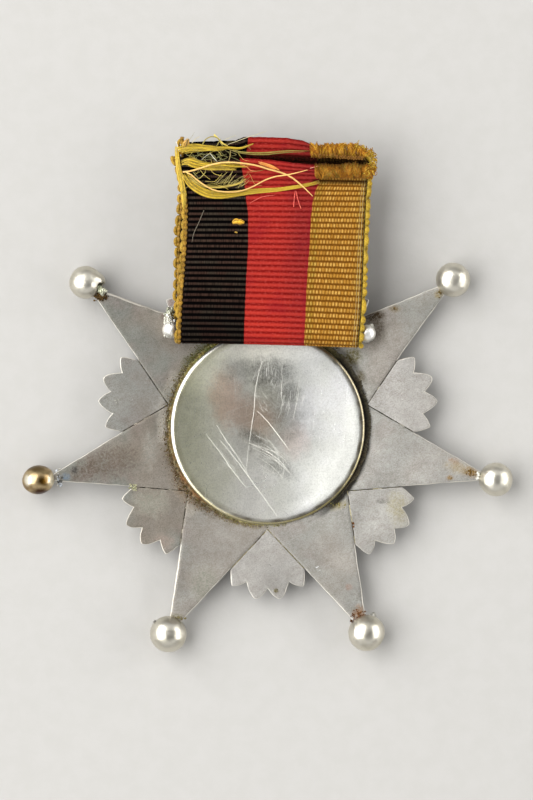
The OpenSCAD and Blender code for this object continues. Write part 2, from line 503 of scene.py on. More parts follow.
@dataclass(frozen=True)
class Picture:
    """The square-on picture that the object is placed by."""

    per_mm: float = 6.0
    middle: tuple[float, float] = (267.7, 427.5)
    size: tuple[int, int] = (533, 800)
    eye: float = 900.0
    level: float = SHEET_TOP

    @property
    def axis(self) -> tuple[float, float]:
        """Where the camera's axis meets the star, in millimetres."""
        return ((self.size[0] / 2 - self.middle[0]) / self.per_mm, (self.middle[1] - self.size[1] / 2) / self.per_mm)

    def at(self, px: Array, py: Array, z: Array) -> Array:
        """Place in the frame, at height z, that shows at a place of the picture.

        Args:
            px: places from the picture's left.
            py: places from its top.
            z: heights in millimetres.

        Returns:
            Places in millimetres, with x, y and z on the last axis.
        """
        px, py, z = np.broadcast_arrays(*(np.asarray(v, float) for v in (px, py, z)))
        near = (self.eye - (z - self.level)) / self.eye
        ax, ay = self.axis
        x = ax + ((px - self.middle[0]) / self.per_mm - ax) * near
        y = ay + ((self.middle[1] - py) / self.per_mm - ay) * near
        return np.stack([x, y, z], -1)

    def flat(self, px: float, py: float) -> tuple[float, float]:
        """Place on the star sheet, without its height."""
        x, y, _ = self.at(px, py, self.level)
        return float(x), float(y)


PICTURE = Picture()


@dataclass(frozen=True)
class Stain:
    """A stain, named by its place and half size in the picture."""

    at: tuple[float, float]
    size: tuple[float, float]
    colour: Colour
    share: float = 0.6
    turn: float = 0.0
    ragged: float = 0.8
    dull: float = 0.15


@dataclass(frozen=True)
class SheetSilver:
    """Old silver sheet: matt, mottled, finely scratched, with its own stains."""

    name: str = "sheet_silver"
    warm: Colour = tone(200, 189, 175)
    cool: Colour = tone(191, 193, 184)
    pink: Colour = tone(204, 185, 176)
    clean: Colour = tone(234, 230, 224)
    dull: Colour = tone(160, 152, 138)
    speck: Colour = tone(160, 157, 148)
    # Colour of the painted highlight along the rounded edges.
    edge: Colour = tone(214, 209, 196)
    seam: Colour = tone(98, 90, 70)
    line: Colour = tone(205, 202, 194)
    rough: float = 0.47
    level: float = 0.65
    rise: float = 0.06
    stains: tuple[Stain, ...] = ()

    def make(self) -> bpy.types.Material:
        """Builds the material: ground, stains, the zone round the cap, then specks, the painted highlight on the
        edges, and seams.

        Returns:
            The material.
        """
        r = Recipe(self.name)
        cloud, mottle, grain = r.noise(13, 2), r.noise(2.2, 5, 0.65), r.noise(0.22, 2)
        colour = r.blend(cloud.step(0.4, 0.62), self.warm, self.cool)
        colour = r.blend(r.noise(6.0, 3).step(0.5, 0.75) * 0.6, colour, self.pink)
        # Lightened towards light silver by each piece's own value.
        colour = r.blend(r.mark("clean"), colour, self.clean)
        colour = r.blend(mottle.step(0.3, 0.75) * 0.35, colour, self.dull, Blend.DARKEN)
        rough = self.rough + (mottle - 0.5) * 0.16 + (grain - 0.5) * 0.08
        crumbled = 0.45 + 0.9 * r.noise(0.4, 5, 0.8).step(0.38, 0.62)
        ragged = r.noise(1.1, 4, 0.7)
        for stain in self.stains:
            spot = r.spot(stain.at, stain.size, stain.turn, stain.ragged, ragged) * crumbled
            colour = r.blend(spot * stain.share, colour, stain.colour)
            rough = rough + spot * stain.dull
        far = r.from_middle()
        ragged_far = far + (r.noise(1.0, 4, 0.7) - 0.5) * 0.0022
        near, wider = ragged_far.step(0.0173, 0.0165), ragged_far.step(0.0184, 0.0168)
        colour = self.beside_cap(r, colour, far, near, wider)
        satin, lines = r.brushed(31, 3), r.scratched(24, 1) + r.scratched(-61, 2) + r.scratched(83, 3)
        speck = satin.step(0.3, 0.7) * 0.2 + grain.step(0.35, 0.7) * 0.28
        speck = speck + r.noise(0.5, 3, 0.8).step(0.4, 0.65) * 0.16
        colour = r.blend(speck, colour, self.speck, Blend.DARKEN)
        colour = r.blend(1.0, colour, (self.level, self.level, self.level), Blend.DARKEN)
        # Rounded edges: a light cream colour and less metal, a painted highlight along them.
        colour = r.blend(r.mark("edge") * 0.8, colour, self.edge)
        colour = r.blend(r.mark("seam") * 0.9, colour, self.seam)
        rough = rough + near * 0.2 - lines * 0.05 + (satin - 0.5) * 0.06 + r.mark("seam") * 0.3
        bowed = r.bump(far * (self.rise / MM), 1.0)
        relief = r.bump(grain + mottle * 0.7 + lines * 0.12, 0.018, bowed)
        return r.finish(Base_Color=r.blend(lines * 0.08, colour, self.line), Metallic=1.0 - r.mark("edge") * 0.5,
                        Roughness=rough, Normal=relief)

    @staticmethod
    def beside_cap(r: Recipe, colour: Value, far: Value, near: Value, wider: Value) -> Value:
        """Tints the sheet round the cap: brown and olive on the left; almost black on the right, which is painted
        shadow of the cap's rim over dark residue.

        Args:
            r: the recipe.
            colour: the sheet's colour.
            far: distance from the middle, in metres.
            near: 1 beside the cap, 0 away from it, with a ragged edge.
            wider: the same with an edge farther out.

        Returns:
            The tinted colour.
        """
        x, y = r.along(0), r.along(1)
        colour = r.blend(near * x.step(0.002, -0.004) * 0.8, colour, tone(132, 112, 72))
        upper = x.step(-0.002, -0.008) * y.step(0.008, 0.012) * 0.75
        lower = x.step(-0.006, -0.012) * y.step(-0.002, -0.006) * 0.6
        colour = r.blend(wider * upper, colour, tone(112, 114, 58))
        colour = r.blend(wider * lower, colour, tone(128, 104, 66))
        cloud = r.noise(2.0, 2) - 0.5
        # Right and upper right of the cap: painted almost black, as the shadow of the cap's rim over dark residue.
        right = (far + cloud * 0.0006).step(0.0177, 0.0170) * x.step(0.006, 0.012)
        corner = (far + cloud * 0.0008).step(0.0188, 0.0176) * x.step(0.006, 0.010) * y.step(0.006, 0.011) * 0.75
        return r.blend(right.larger(corner) * 0.95, colour, tone(34, 27, 16))


@dataclass(frozen=True)
class CapSilver:
    """Smoother silver of the dished cap, brushed and patchy."""

    bright: Colour = tone(252, 251, 249)
    green: Colour = tone(228, 229, 216)
    pink: Colour = tone(250, 225, 212)
    grey: Colour = tone(116, 116, 113)
    rough: float = 0.32
    flushed: tuple[Stain, ...] = (
        Stain((226, 399), (24, 42), pink, 0.85, 6), Stain((252, 416), (38, 26), pink, 0.8, -25),
        Stain((294, 441), (22, 27), pink, 0.42))
    # Grey patches on the dish: place, half size, turn and share.
    grey_patches: tuple[tuple[tuple[float, float], tuple[float, float], float, float], ...] = (
        ((270, 374), (34, 26), -12, 1.0), ((240, 369), (34, 17), 14, 0.6), ((289, 392), (20, 18), -30, 0.9),
        ((287, 414), (28, 34), 0, 0.55), ((253, 437), (22, 10), -32, 1.0), ((276, 463), (32, 14), -38, 0.8))
    matt: tuple[tuple[tuple[float, float], tuple[float, float], float], ...] = (
        ((200, 362), (46, 50), 0.07), ((266, 347), (72, 23), 0.11), ((330, 478), (50, 44), 0.05))

    def make(self) -> bpy.types.Material:
        """Builds the material: ground, pink and grey patches, the rim with its painted light and shade, then brush
        strokes and grain.

        Returns:
            The material.
        """
        r = Recipe("cap_silver")
        mottle, fine, grain = r.noise(1.6, 5, 0.7), r.noise(0.3, 3, 0.7), r.noise(0.14, 2, 0.6)
        strokes, cross = r.brushed(82, 1), r.brushed(-40, 2)
        colour = r.blend(r.noise(9, 2).step(0.4, 0.65) * 0.5, self.bright, self.green)
        colour = r.stained(colour, self.flushed, mottle)
        patch = None
        for at, size, turn, share in self.grey_patches:
            spot = r.spot(at, size, turn, 0.9, mottle) * share
            patch = spot if patch is None else patch.larger(spot)
        patch = patch * (0.72 + 0.9 * (strokes - 0.5) + 0.7 * (cross - 0.5) + 0.4 * (fine - 0.5))
        colour = r.blend(patch, colour, self.grey)
        x, y = r.along(0), r.along(1)
        colour = r.blend(x.step(-0.003, -0.014), colour, tone(240, 241, 220), Blend.DARKEN)
        # Darker over the middle of the dish.
        worn = r.spot((264, 418), (46, 52), 0, 0.5, mottle)
        colour = r.blend(worn, colour, tone(210, 208, 202), Blend.DARKEN)
        colour = r.blend(x.step(0.006, -0.002), colour, tone(252, 250, 243), Blend.DARKEN)
        hollow = abs(r.from_middle() - 0.0152).step(0.0007, 0.0) * x.step(0.0, -0.008) * 0.8
        colour = r.blend(hollow, colour, tone(216, 214, 206), Blend.DARKEN)
        # The rim is near white on the left and darker and yellower on the right and at the bottom: painted light and
        # shade.
        rim = r.blend(x.step(-0.006, 0.010), tone(240, 237, 230), tone(186, 174, 142))
        rim = r.blend(y.step(0.0, -0.013) * 0.75, rim, tone(184, 170, 106))
        colour = r.blend(r.mark("edge"), colour, rim)
        colour = r.blend(r.mark("crease"), colour, tone(132, 124, 106))
        colour = r.blend(strokes.step(0.3, 0.7) * 0.12, colour, tone(170, 168, 160), Blend.DARKEN)
        colour = r.blend(grain.step(0.4, 0.75) * (0.16 + 0.2 * patch), colour, tone(140, 140, 136), Blend.DARKEN)
        colour = r.blend(fine.step(0.40, 0.66) * 0.24, colour, tone(166, 166, 158), Blend.DARKEN)
        lines = r.scratched(84, 11) + r.scratched(-48, 12) + r.scratched(20, 13)
        rough = self.rough + (mottle - 0.5) * 0.08 + patch * 0.08 - lines * 0.04 + (strokes - 0.5) * 0.06
        for at, size, more in self.matt:
            rough = rough + r.spot(at, size) * more
        relief = r.bump(fine * 0.9 + mottle * 0.8 + lines * 0.4 + strokes * 0.8 + grain * 0.4, 0.007)
        return r.finish(Base_Color=r.blend(lines * 0.3, colour, tone(240, 238, 232)), Metallic=1.0, Roughness=rough,
                        Normal=relief)


@dataclass(frozen=True)
class BallSilver:
    """Silver of the balls: soft highlights, small dents and a tarnished skin."""

    name: str = "ball_silver"
    bright: Colour = tone(214, 209, 195)
    dull: Colour = tone(160, 154, 130)
    dark: Colour = tone(106, 98, 78)
    rough: float = 0.35
    tarnish: float = 0.4

    def make(self) -> bpy.types.Material:
        """Builds the material.

        Returns:
            The material.
        """
        r = Recipe(self.name)
        cloud, mottle, fine = r.noise(2.6, 2), r.noise(0.9, 5, 0.7), r.noise(0.25, 2)
        colour = r.blend(cloud.step(0.45, 0.75) * self.tarnish, self.bright, self.dull)
        colour = r.blend(mottle.step(0.62, 0.8) * 0.6, colour, self.dark)
        rough = self.rough + (mottle - 0.45) * 0.22 + (fine - 0.5) * 0.05
        return r.finish(Base_Color=colour, Metallic=1.0, Roughness=rough, Normal=r.bump(mottle + fine * 0.4, 0.014))


@dataclass(frozen=True)
class GildedBall:
    """Gold-brown skin of the left ball, with a painted dark reflection in its middle, darker brown places above and
    below it, and a painted near-white highlight on each side.
    """

    light: Colour = tone(186, 164, 124)
    deep: Colour = tone(142, 118, 80)
    stains: tuple[Stain, ...] = (
        # Painted dark reflection in the middle, and darker brown places above and below it.
        Stain((43, 481), (7, 6), tone(92, 66, 24), 1.0, 0, 0.6),
        Stain((41, 492), (13, 6), tone(70, 44, 26), 1.0, 0, 0.6),
        Stain((36, 468), (15, 5), tone(96, 78, 44), 0.9, 0, 0.6),
        # Near-white on each side: painted highlights.
        Stain((28, 480), (5, 8), tone(244, 238, 220), 1.0, 0, 0.6),
        Stain((53, 480), (6, 10), tone(250, 238, 210), 1.0, 0, 0.6))

    def make(self) -> bpy.types.Material:
        """Builds the material.

        Returns:
            The material.
        """
        r = Recipe("gilded_ball")
        mottle, fine = r.noise(0.8, 5, 0.7), r.noise(0.25, 2)
        colour = r.stained(r.blend(r.noise(2.2, 3).step(0.4, 0.65), self.light, self.deep), self.stains, mottle)
        colour = r.blend(mottle.step(0.6, 0.8) * 0.6, colour, tone(84, 58, 26))
        return r.finish(Base_Color=colour, Metallic=1.0, Roughness=0.32 + (mottle - 0.45) * 0.25,
                        Normal=r.bump(mottle + fine * 0.4, 0.02))


@dataclass(frozen=True)
class Crust:
    """Solder and dried residue, tinted by each lump's own colour."""

    name: str
    metallic: float
    rough: float
    dirt: float = 0.6
    gloss: float = 0.5

    def make(self) -> bpy.types.Material:
        """Builds the material.

        Returns:
            The material.
        """
        r = Recipe(self.name)
        mottle = r.noise(0.35, 4, 0.7)
        colour = r.blend(mottle.step(0.35, 0.7) * self.dirt, r.mark("tint", True), tone(70, 58, 38), Blend.DARKEN)
        return r.finish(Base_Color=colour, Metallic=self.metallic, Roughness=self.rough + (mottle - 0.5) * 0.3,
                        Specular_IOR_Level=self.gloss, Normal=r.bump(mottle + r.noise(0.12, 2) * 0.6, 0.08))


@dataclass(frozen=True)
class RibbedSilk:
    """Ribbed silk in three stripes, with its warp threads, dirt and painted shade between its ribs, and painted
    highlights on their tops.
    """

    black: Colour = tone(8, 4, 4)
    red: Colour = tone(166, 46, 36)
    gold: Colour = tone(168, 123, 55)
    first: float = 0.345
    second: float = 0.698
    warps: float = 58.0

    def make(self) -> bpy.types.Material:
        """Builds the material: the three stripes, each from its ribs, threads, flecks and worn places.

        Returns:
            The material.
        """
        r = Recipe("ribbed_silk")
        across, ribs, soil = r.mark("across"), r.mark("ribs"), r.mark("soil")
        row = ribs.maths("FLOOR")
        wobble = (r.noise(1.0, 2) - 0.5) * 0.008
        is_red = (across + wobble).step(self.first - 0.002, self.first + 0.002)
        is_gold = (across + wobble).step(self.second - 0.002, self.second + 0.002)
        uneven = r.cells(across * (self.warps * 1.9), row * 3.7, 1.0) - 0.5
        ridge = abs(((ribs + uneven * (0.04 + is_gold * 0.16)) * math.pi).maths("SINE"))
        shift = r.cells(0.0, row * 7.31, 2.0)
        phase = across * (self.warps * 2 * math.pi) + row * 2.3 + (r.noise(1.6, 2) - 0.5) * 3 + shift * 5
        bead = phase.maths("COSINE") * 0.5 + 0.5
        own = r.cells(across * self.warps, row * 5.3, 0.0)
        streak = r.cells(across * 60, ribs * 4.0, 3.0)
        dots = r.cells(across * 170, row * 3.1, 1.0)
        worn, fleck, light = r.noise(4.5, 3), r.noise(0.35, 3, 0.7), ridge.step(0.45, 1.0)
        upper = r.along(1).step(0.014, 0.030)
        # Black: darker in the grooves, lighter on the rib tops, and dotted lighter thread on the tops: painted shade
        # and painted highlight.
        black = r.blend(light, tone(2, 1, 1), self.black)
        thread = r.blend(worn.step(0.4, 0.6), tone(62, 44, 36), tone(58, 50, 41))
        black = r.blend(ridge.step(0.55, 1.0) * dots.step(0.1, 0.7) * (0.55 + 0.4 * upper), black, thread)
        black = r.blend(fleck.step(0.70, 0.84) * 0.25, black, tone(90, 86, 80))
        # Red: darker in the grooves between the ribs: painted shade.
        red = r.blend(ridge.step(1.0, 0.32) * 0.9, self.red, tone(114, 13, 12))
        red = r.blend(upper, red, (0.88, 0.93, 1.0), Blend.DARKEN)
        red = r.blend(streak.step(0.45, 0.75) * 0.4, red, tone(184, 72, 64))
        red = r.blend(worn.step(0.5, 0.75) * 0.35, red, tone(120, 20, 32))
        red = r.blend(across.step(0.50, 0.66) * (0.5 + 0.5 * upper), red, (0.74, 0.86, 1.0), Blend.DARKEN)
        red = r.blend(across.step(self.second - 0.03, self.second) * 0.4, red, tone(112, 18, 30))
        olive = abs(across - 0.725).step(0.028, 0.0).larger(across.step(0.93, 0.985))
        gold = r.blend(own.step(0.4, 0.65) * 0.5, self.gold, tone(190, 150, 86))
        gold = r.blend(olive * (0.3 + 0.6 * own), gold, tone(142, 122, 52))
        gold = r.blend(worn.step(0.45, 0.7) * 0.5, gold, tone(152, 102, 44))
        gold = r.blend(dots.step(0.52, 0.74) * 0.5, gold, tone(116, 76, 26))
        gold = r.blend(dots.step(0.46, 0.26) * 0.4, gold, tone(206, 164, 92))
        # Gold: darker between the warp beads and in the grooves (painted shade), lighter on the bead tops (painted
        # highlight).
        gold = r.blend(bead.step(0.45, 0.0) * 0.78, gold, tone(100, 64, 16))
        gold = r.blend(ridge.step(0.85, 0.25) * 0.9, gold, tone(96, 58, 14))
        gold = r.blend(bead.step(0.5, 1.0) * light * own.step(0.4, 0.7) * 0.45, gold, tone(222, 186, 116))
        warp = (across * (self.warps * 2.6 * math.pi)).maths("COSINE").step(0.3, 0.9) * across.step(0.95, 0.98)
        gold = r.blend(warp * (0.2 + 0.5 * dots), gold, tone(190, 182, 150))
        gold = r.blend(1.0, gold, (0.97, 0.91, 0.67), Blend.DARKEN)
        colour = r.blend(is_gold, r.blend(is_red, black, red), gold)
        # The ribbon's dark mark: painted shade in the deep groove between the plies' ends, and darker edges of the
        # cloth.
        colour = r.blend(soil * (0.65 + 0.6 * fleck), colour, tone(16, 8, 3))
        height = bead * (0.25 + is_gold * 0.75) * ridge + fleck * 0.25 + streak * 0.3
        return r.finish(Base_Color=colour, Roughness=0.66 - light * 0.14, Specular_IOR_Level=0.02,
                        Normal=r.bump(height, 0.10))


@dataclass(frozen=True)
class Thread:
    """Silk thread in its own tint, with fine strands along it."""

    name: str = "silk_thread"
    uneven: float = 0.65
    relief: float = 0.05
    rough: float = 0.46
    gloss: float = 0.15
    sheen: float = 0.05

    def make(self) -> bpy.types.Material:
        """Builds the material.

        Returns:
            The material.
        """
        r = Recipe(self.name)
        strand, fleck = r.noise(0.25, 3, 0.7), r.noise(0.9, 2)
        colour = r.blend(strand.step(0.6, 0.3) * self.uneven, r.mark("tint", True), tone(150, 104, 30), Blend.DARKEN)
        colour = r.blend(fleck.step(0.5, 0.8) * 0.15, colour, tone(236, 204, 110))
        return r.finish(Base_Color=colour, Roughness=self.rough, Sheen_Weight=self.sheen, Sheen_Roughness=0.4,
                        Specular_IOR_Level=self.gloss, Normal=r.bump(strand, self.relief))


@dataclass
class Studio:
    """Camera, pale floor and soft light."""

    floor_size: float = 6.0
    sensor_mm: float = 36.0

    def build(self) -> None:
        """Makes the camera first, then the floor, the lights and the dim surroundings."""
        self.camera()
        self.floor()
        self.softbox("softbox_left", 170, 45, 1.0, (1.6, 1.15), 25.0)
        self.softbox("softbox_right", 4, 23, 1.0, (1.3, 0.64), 9.0)
        self.softbox("softbox_back", 86, 42, 1.2, (2.2, 1.1), 4.5)
        self.softbox("softbox_front", -92, 30, 1.2, (2.2, 1.0), 4.5)
        world = bpy.data.worlds.new("studio")
        world.use_nodes = True
        back = world.node_tree.nodes["Background"]
        back.inputs["Color"].default_value = (0.92, 0.95, 1.0, 1)
        back.inputs["Strength"].default_value = 0.13
        bpy.context.scene.world = world
        bpy.context.scene.view_settings.view_transform = "Standard"

    def camera(self) -> None:
        """Camera straight above the picture's middle."""
        lens = bpy.data.cameras.new("camera")
        x, y = PICTURE.axis
        height = PICTURE.size[1] / PICTURE.per_mm * MM
        lens.sensor_width = self.sensor_mm
        lens.lens = self.sensor_mm * PICTURE.eye * MM / height
        lens.clip_start, lens.clip_end = 0.05, 20.0
        eye = bpy.data.objects.new("camera", lens)
        eye.location = (x * MM, y * MM, (PICTURE.eye + PICTURE.level) * MM)
        bpy.context.scene.collection.objects.link(eye)
        bpy.context.scene.camera = eye

    def floor(self) -> None:
        """Pale flat floor that the star rests on."""
        half = self.floor_size / 2
        line = np.linspace(-half, half, 9)
        x, y = np.meshgrid(line, line, indexing="ij")
        mesh = bpy.data.meshes.new("floor")
        at = np.arange(x.size).reshape(x.shape)
        quads = np.stack([at[:-1, :-1], at[1:, :-1], at[1:, 1:], at[:-1, 1:]], -1).reshape(-1, 4)
        mesh.from_pydata(np.stack([x, y, 0 * x], -1).reshape(-1, 3).tolist(), [], quads.tolist())
        r = Recipe("pale_floor")
        colour = r.blend(r.noise(3, 4).step(0.3, 0.7) * 0.5, tone(178, 176, 172), tone(173, 171, 166))
        mesh.materials.append(r.finish(Base_Color=colour, Roughness=0.8, Normal=r.bump(r.noise(0.8, 3), 0.02)))
        floor = bpy.data.objects.new("floor", mesh)
        bpy.context.scene.collection.objects.link(floor)

    @staticmethod
    def softbox(name: str, azimuth: float, elevation: float, far: float, size: tuple[float, float],
                power: float) -> None:
        """Large soft light that faces the star.

        Args:
            name: the light's name.
            azimuth: where it stands, in degrees from +X to +Y.
            elevation: its angle above the floor in degrees.
            far: its distance in metres.
            size: its width and height in metres.
            power: its power in watts.
        """
        data = bpy.data.lights.new(name, "AREA")
        data.shape = "RECTANGLE"
        data.size, data.size_y = size
        data.energy = power
        lamp = bpy.data.objects.new(name, data)
        a, e = math.radians(azimuth), math.radians(elevation)
        lamp.location = (far * math.cos(e) * math.cos(a), far * math.cos(e) * math.sin(a), far * math.sin(e))
        lamp.rotation_euler = (math.pi / 2 - e, 0, a + math.pi / 2)
        lamp.visible_camera = False
        bpy.context.scene.collection.objects.link(lamp)


@dataclass(frozen=True)
class ArmRow:
    """One arm: its ball's diameter and distance, its own blunt end's distance and sideways shift."""

    ball_d: float
    ball_r: float
    end_r: float
    shift: float = 0.0


ARM_ROWS = (
    ArmRow(5.8, 38.9, 38.2), ArmRow(5.5, 38.8, 37.9, 0.2), ArmRow(5.4, 39.2, 37.9, 0.2), ArmRow(6.1, 38.25, 38.2),
    ArmRow(6.1, 38.0, 38.2), ArmRow(5.65, 39.0, 38.2), ArmRow(5.75, 39.5, 39.2, -0.2))
STEP = 2 * math.pi / 7


def turned(points: Array, angle: float) -> Array:
    """Flat points turned about the star's middle."""
    c, s = math.cos(angle), math.sin(angle)
    return np.asarray(points, float) @ np.array([[c, s], [-s, c]])


@dataclass
class Plate:
    """A flat sheet with rounded edges, made from its outline."""

    outline: Array
    middle: Array
    soft: Array
    low: float = 2.7
    high: float = SHEET_TOP
    round_w: float = 0.13
    seed: int = 1
    spacing: float = 0.45
    wave: float = 0.035

    def walk(self) -> tuple[Array, Array]:
        """Walks along the closed outline.

        Returns:
            Places on it, its corners among them, and the share of the full rounding at each.
        """
        ends = np.roll(self.outline, -1, axis=0)
        places, wide = [], []
        for a, b, wa, wb in zip(self.outline, ends, self.soft, np.roll(self.soft, -1)):
            t = np.linspace(0, 1, max(2, int(np.linalg.norm(b - a) / self.spacing) + 1), endpoint=False)[:, None]
            places.append(a + (b - a) * t)
            wide.append((wa + (wb - wa) * t)[:, 0])
        return np.concatenate(places), np.concatenate(wide)

    def grid(self) -> tuple[Array, Array, Array]:
        """The whole sheet as one closed grid.

        Rows run from the middle of the top out to the edge, round it, and back to the middle of the underside. A
        point is middle + share * (outline - inset - middle), and the edge is a quarter round above and below.

        Returns:
            The grid, and how near each of its points is to an open edge and to an edge in a seam, from 0 to 1.
        """
        rim, wide = self.walk()
        way = unit(np.roll(rim, -1, 0) - rim)
        back = np.roll(way, 1, 0)
        out = unit(np.stack([way[:, 1] + back[:, 1], -way[:, 0] - back[:, 0]], -1))
        area = (rim[:, 0] * np.roll(rim[:, 1], -1) - rim[:, 1] * np.roll(rim[:, 0], -1)).sum()
        out *= np.sign(area)
        mitre = 1 / np.clip(np.abs((out * np.stack([way[:, 1], -way[:, 0]], -1)).sum(1)), 0.55, 1)
        drift = 0.03 * ripple(rim, 5.0, self.seed) + 0.012 * ripple(rim, 1.1, self.seed + 7)
        rim = rim + out * (drift * np.clip(wide, 0, 1))[:, None]
        width = self.round_w * wide * (1 + 0.35 * ripple(rim, 4.0, self.seed + 3))
        inset = out * (width * mitre)[:, None]
        inner = rim - inset - self.middle
        shares = np.concatenate([np.linspace(0.04, 0.3, 3), np.linspace(0.42, 1, 15)])[:, None, None]
        under = shares[::-4] * 0.995
        angle = np.linspace(0, math.pi / 2, 5)[:, None]
        edge = rim - inset * (1 - np.sin(angle))[..., None]
        fall = width * (1 - np.cos(angle))
        flat = np.concatenate([self.middle + shares * inner, edge[1:], edge[::-1], self.middle + under * inner])
        z = np.concatenate([np.full((len(shares), len(rim)), self.high), self.high - fall[1:], self.low + fall[::-1],
                            np.full((len(under), len(rim)), self.low)])
        near = np.repeat((0.0, 1.0, 0.6, 0.3, 0.0), (len(shares), 3, 1, 5, len(under)))[:, None]
        z = z + self.wave * ripple(flat, 11.0, self.seed + 11) * ease(np.linalg.norm(flat, axis=-1), 16.5, 20)
        open_edge = ease(wide, 0.3, 0.7)
        return np.concatenate([flat, z[..., None]], -1), near * open_edge, (near > 0) * (1 - open_edge)


@dataclass
class StarSheet:
    """The seven-armed sheet and the seven palmettes let in between its arms, each brightened as far as its own value
    says.
    """

    # How far each arm and each palmette is lightened towards a light silver tone.
    arms_clean: tuple[float, ...] = (0.3, 0.1, 0.0, 0.5, 0.5, 0.72, 0.42)
    palmettes_clean: tuple[float, ...] = (0.9, 0.48, 0.06, 1.0, 0.8, 1.0, 0.9)
    arm_edges: dict[int, tuple[float, float, float]] = field(
        default_factory=lambda: {1: (1.1, 2.9, 0.8), 3: (1.6, 1.44, 1.0)})
    arm_reach: float = 38.7
    notch_r: float = 16.9
    arm_end_w: float = 0.15
    shoulder_a: float = math.radians(15)
    seam_w: float = 0.12
    lobe_power: float = 1.6
    lobes: tuple[tuple[float, float], ...] = ((0, 26.9), (4.0, 28.6), (7.8, 26.0), (12.6, 27.1))
    lobe_foot: float = 14.6
    lobe_middle: float = 22.6

    def edge_r(self, angle: Array | float, gap: float) -> Array | float:
        """Distance from the middle to an arm's edge, by the law of sines.

        Args:
            angle: the ray's angle from the palmette's axis.
            gap: how far outside the edge to stay.

        Returns:
            The distance along that ray.
        """
        half = STEP / 2
        arm_edge = math.atan2(self.notch_r * math.sin(half), self.arm_reach - self.notch_r * math.cos(half))
        notch = arm_edge + half
        return (self.notch_r * math.sin(notch) + gap) / np.sin(notch - angle)

    def star_outline(self) -> tuple[Array, Array]:
        """Outline of the star: each arm narrows from its shoulders to its blunt end.

        Returns:
            Its corners, and the share of the full rounding that each has.
        """
        r, a = self.edge_r(self.shoulder_a, 0), STEP / 2 - self.shoulder_a
        sx, sy = r * math.cos(a), r * math.sin(a)
        corners, soft = [], []
        for i, row in enumerate(ARM_ROWS):
            x, s, w = row.end_r, row.shift, self.arm_end_w
            near = (sx + (x - sx) * 0.93, sy + (w - sy) * 0.93)
            nx, ny = self.notch_r * math.cos(STEP / 2), self.notch_r * math.sin(STEP / 2)
            seam = (sx + (nx - sx) * 0.06, sy + (ny - sy) * 0.06)
            arm = [(seam[0], -seam[1]), (sx, -sy), (near[0], s * 0.93 - near[1]), (x, s - w), (x, s + w),
                   (near[0], s * 0.93 + near[1]), (sx, sy), seam, (nx, ny)]
            corners.append(turned(arm, math.pi / 2 + i * STEP))
            right, tip, left = self.arm_edges.get(i, (1.0, 0.9, 1.0))
            soft += [0.2, right, tip, 0.3, 0.3, left * 0.9, left, 0.2, 0.2]
        return np.concatenate(corners), np.array(soft)

    def palmette_outline(self) -> Array:
        """Outline of a palmette about +X: from each lobe's tip the distance falls with a power of the angle.

        Returns:
            Its corners.
        """
        foot = (self.lobe_foot, float(self.edge_r(math.radians(self.lobe_foot), self.seam_w)))
        t = np.linspace(0, 1, 9)
        (v0, t1, v1, t2) = self.lobes
        parts = []
        for tip, valley, rising in ((t1, v0, True), (t1, v1, False), (t2, v1, True), (t2, foot, False)):
            angle = tip[0] + (valley[0] - tip[0]) * t
            far = tip[1] - (tip[1] - valley[1]) * t**self.lobe_power
            line = np.stack([angle, far], -1)
            parts.append((line[::-1] if rising else line)[1:])
        half = np.concatenate([[v0], *parts])
        whole = np.concatenate([half[::-1] * [-1, 1], half[1:]])
        angle = np.radians(whole[:, 0])
        ring = np.stack([whole[:, 1] * np.cos(angle), whole[:, 1] * np.sin(angle)], -1)
        return np.concatenate([[[self.edge_r(0, self.seam_w), 0]], ring])

    def build(self, finish: bpy.types.Material) -> None:
        """Makes the star and the palmettes.

        Args:
            finish: their material.
        """
        outline, soft = self.star_outline()
        shell = Shell("silver_star")
        grid, near, seam = Plate(outline, np.zeros(2), soft).grid()
        turn = (np.arctan2(grid[..., 1], grid[..., 0]) - math.pi / 2) / STEP % 7
        clean = np.interp(turn, np.arange(8), (*self.arms_clean, self.arms_clean[0]))
        shell.add(grid, edge=near, seam=seam, clean=clean)
        shell.build(finish, "star_plate", slot="star_silver")
        for i in range(7):
            axis = math.pi / 2 + STEP * (i + 0.5)
            outline = turned(self.palmette_outline(), axis)
            middle = turned([[self.lobe_middle, 0]], axis)[0]
            shell = Shell(f"silver_palmette_{i + 1}")
            soft = np.ones(len(outline))
            soft[[0, 1, -1]] = 0.2
            plate = Plate(outline, middle, soft, seed=20 + i, round_w=0.12, spacing=0.3)
            grid, near, seam = plate.grid()
            shell.add(grid, edge=near, seam=seam, clean=np.array(self.palmettes_clean[i]))
            shell.build(finish, f"palmette_{i + 1}", slot="palmette_silver")


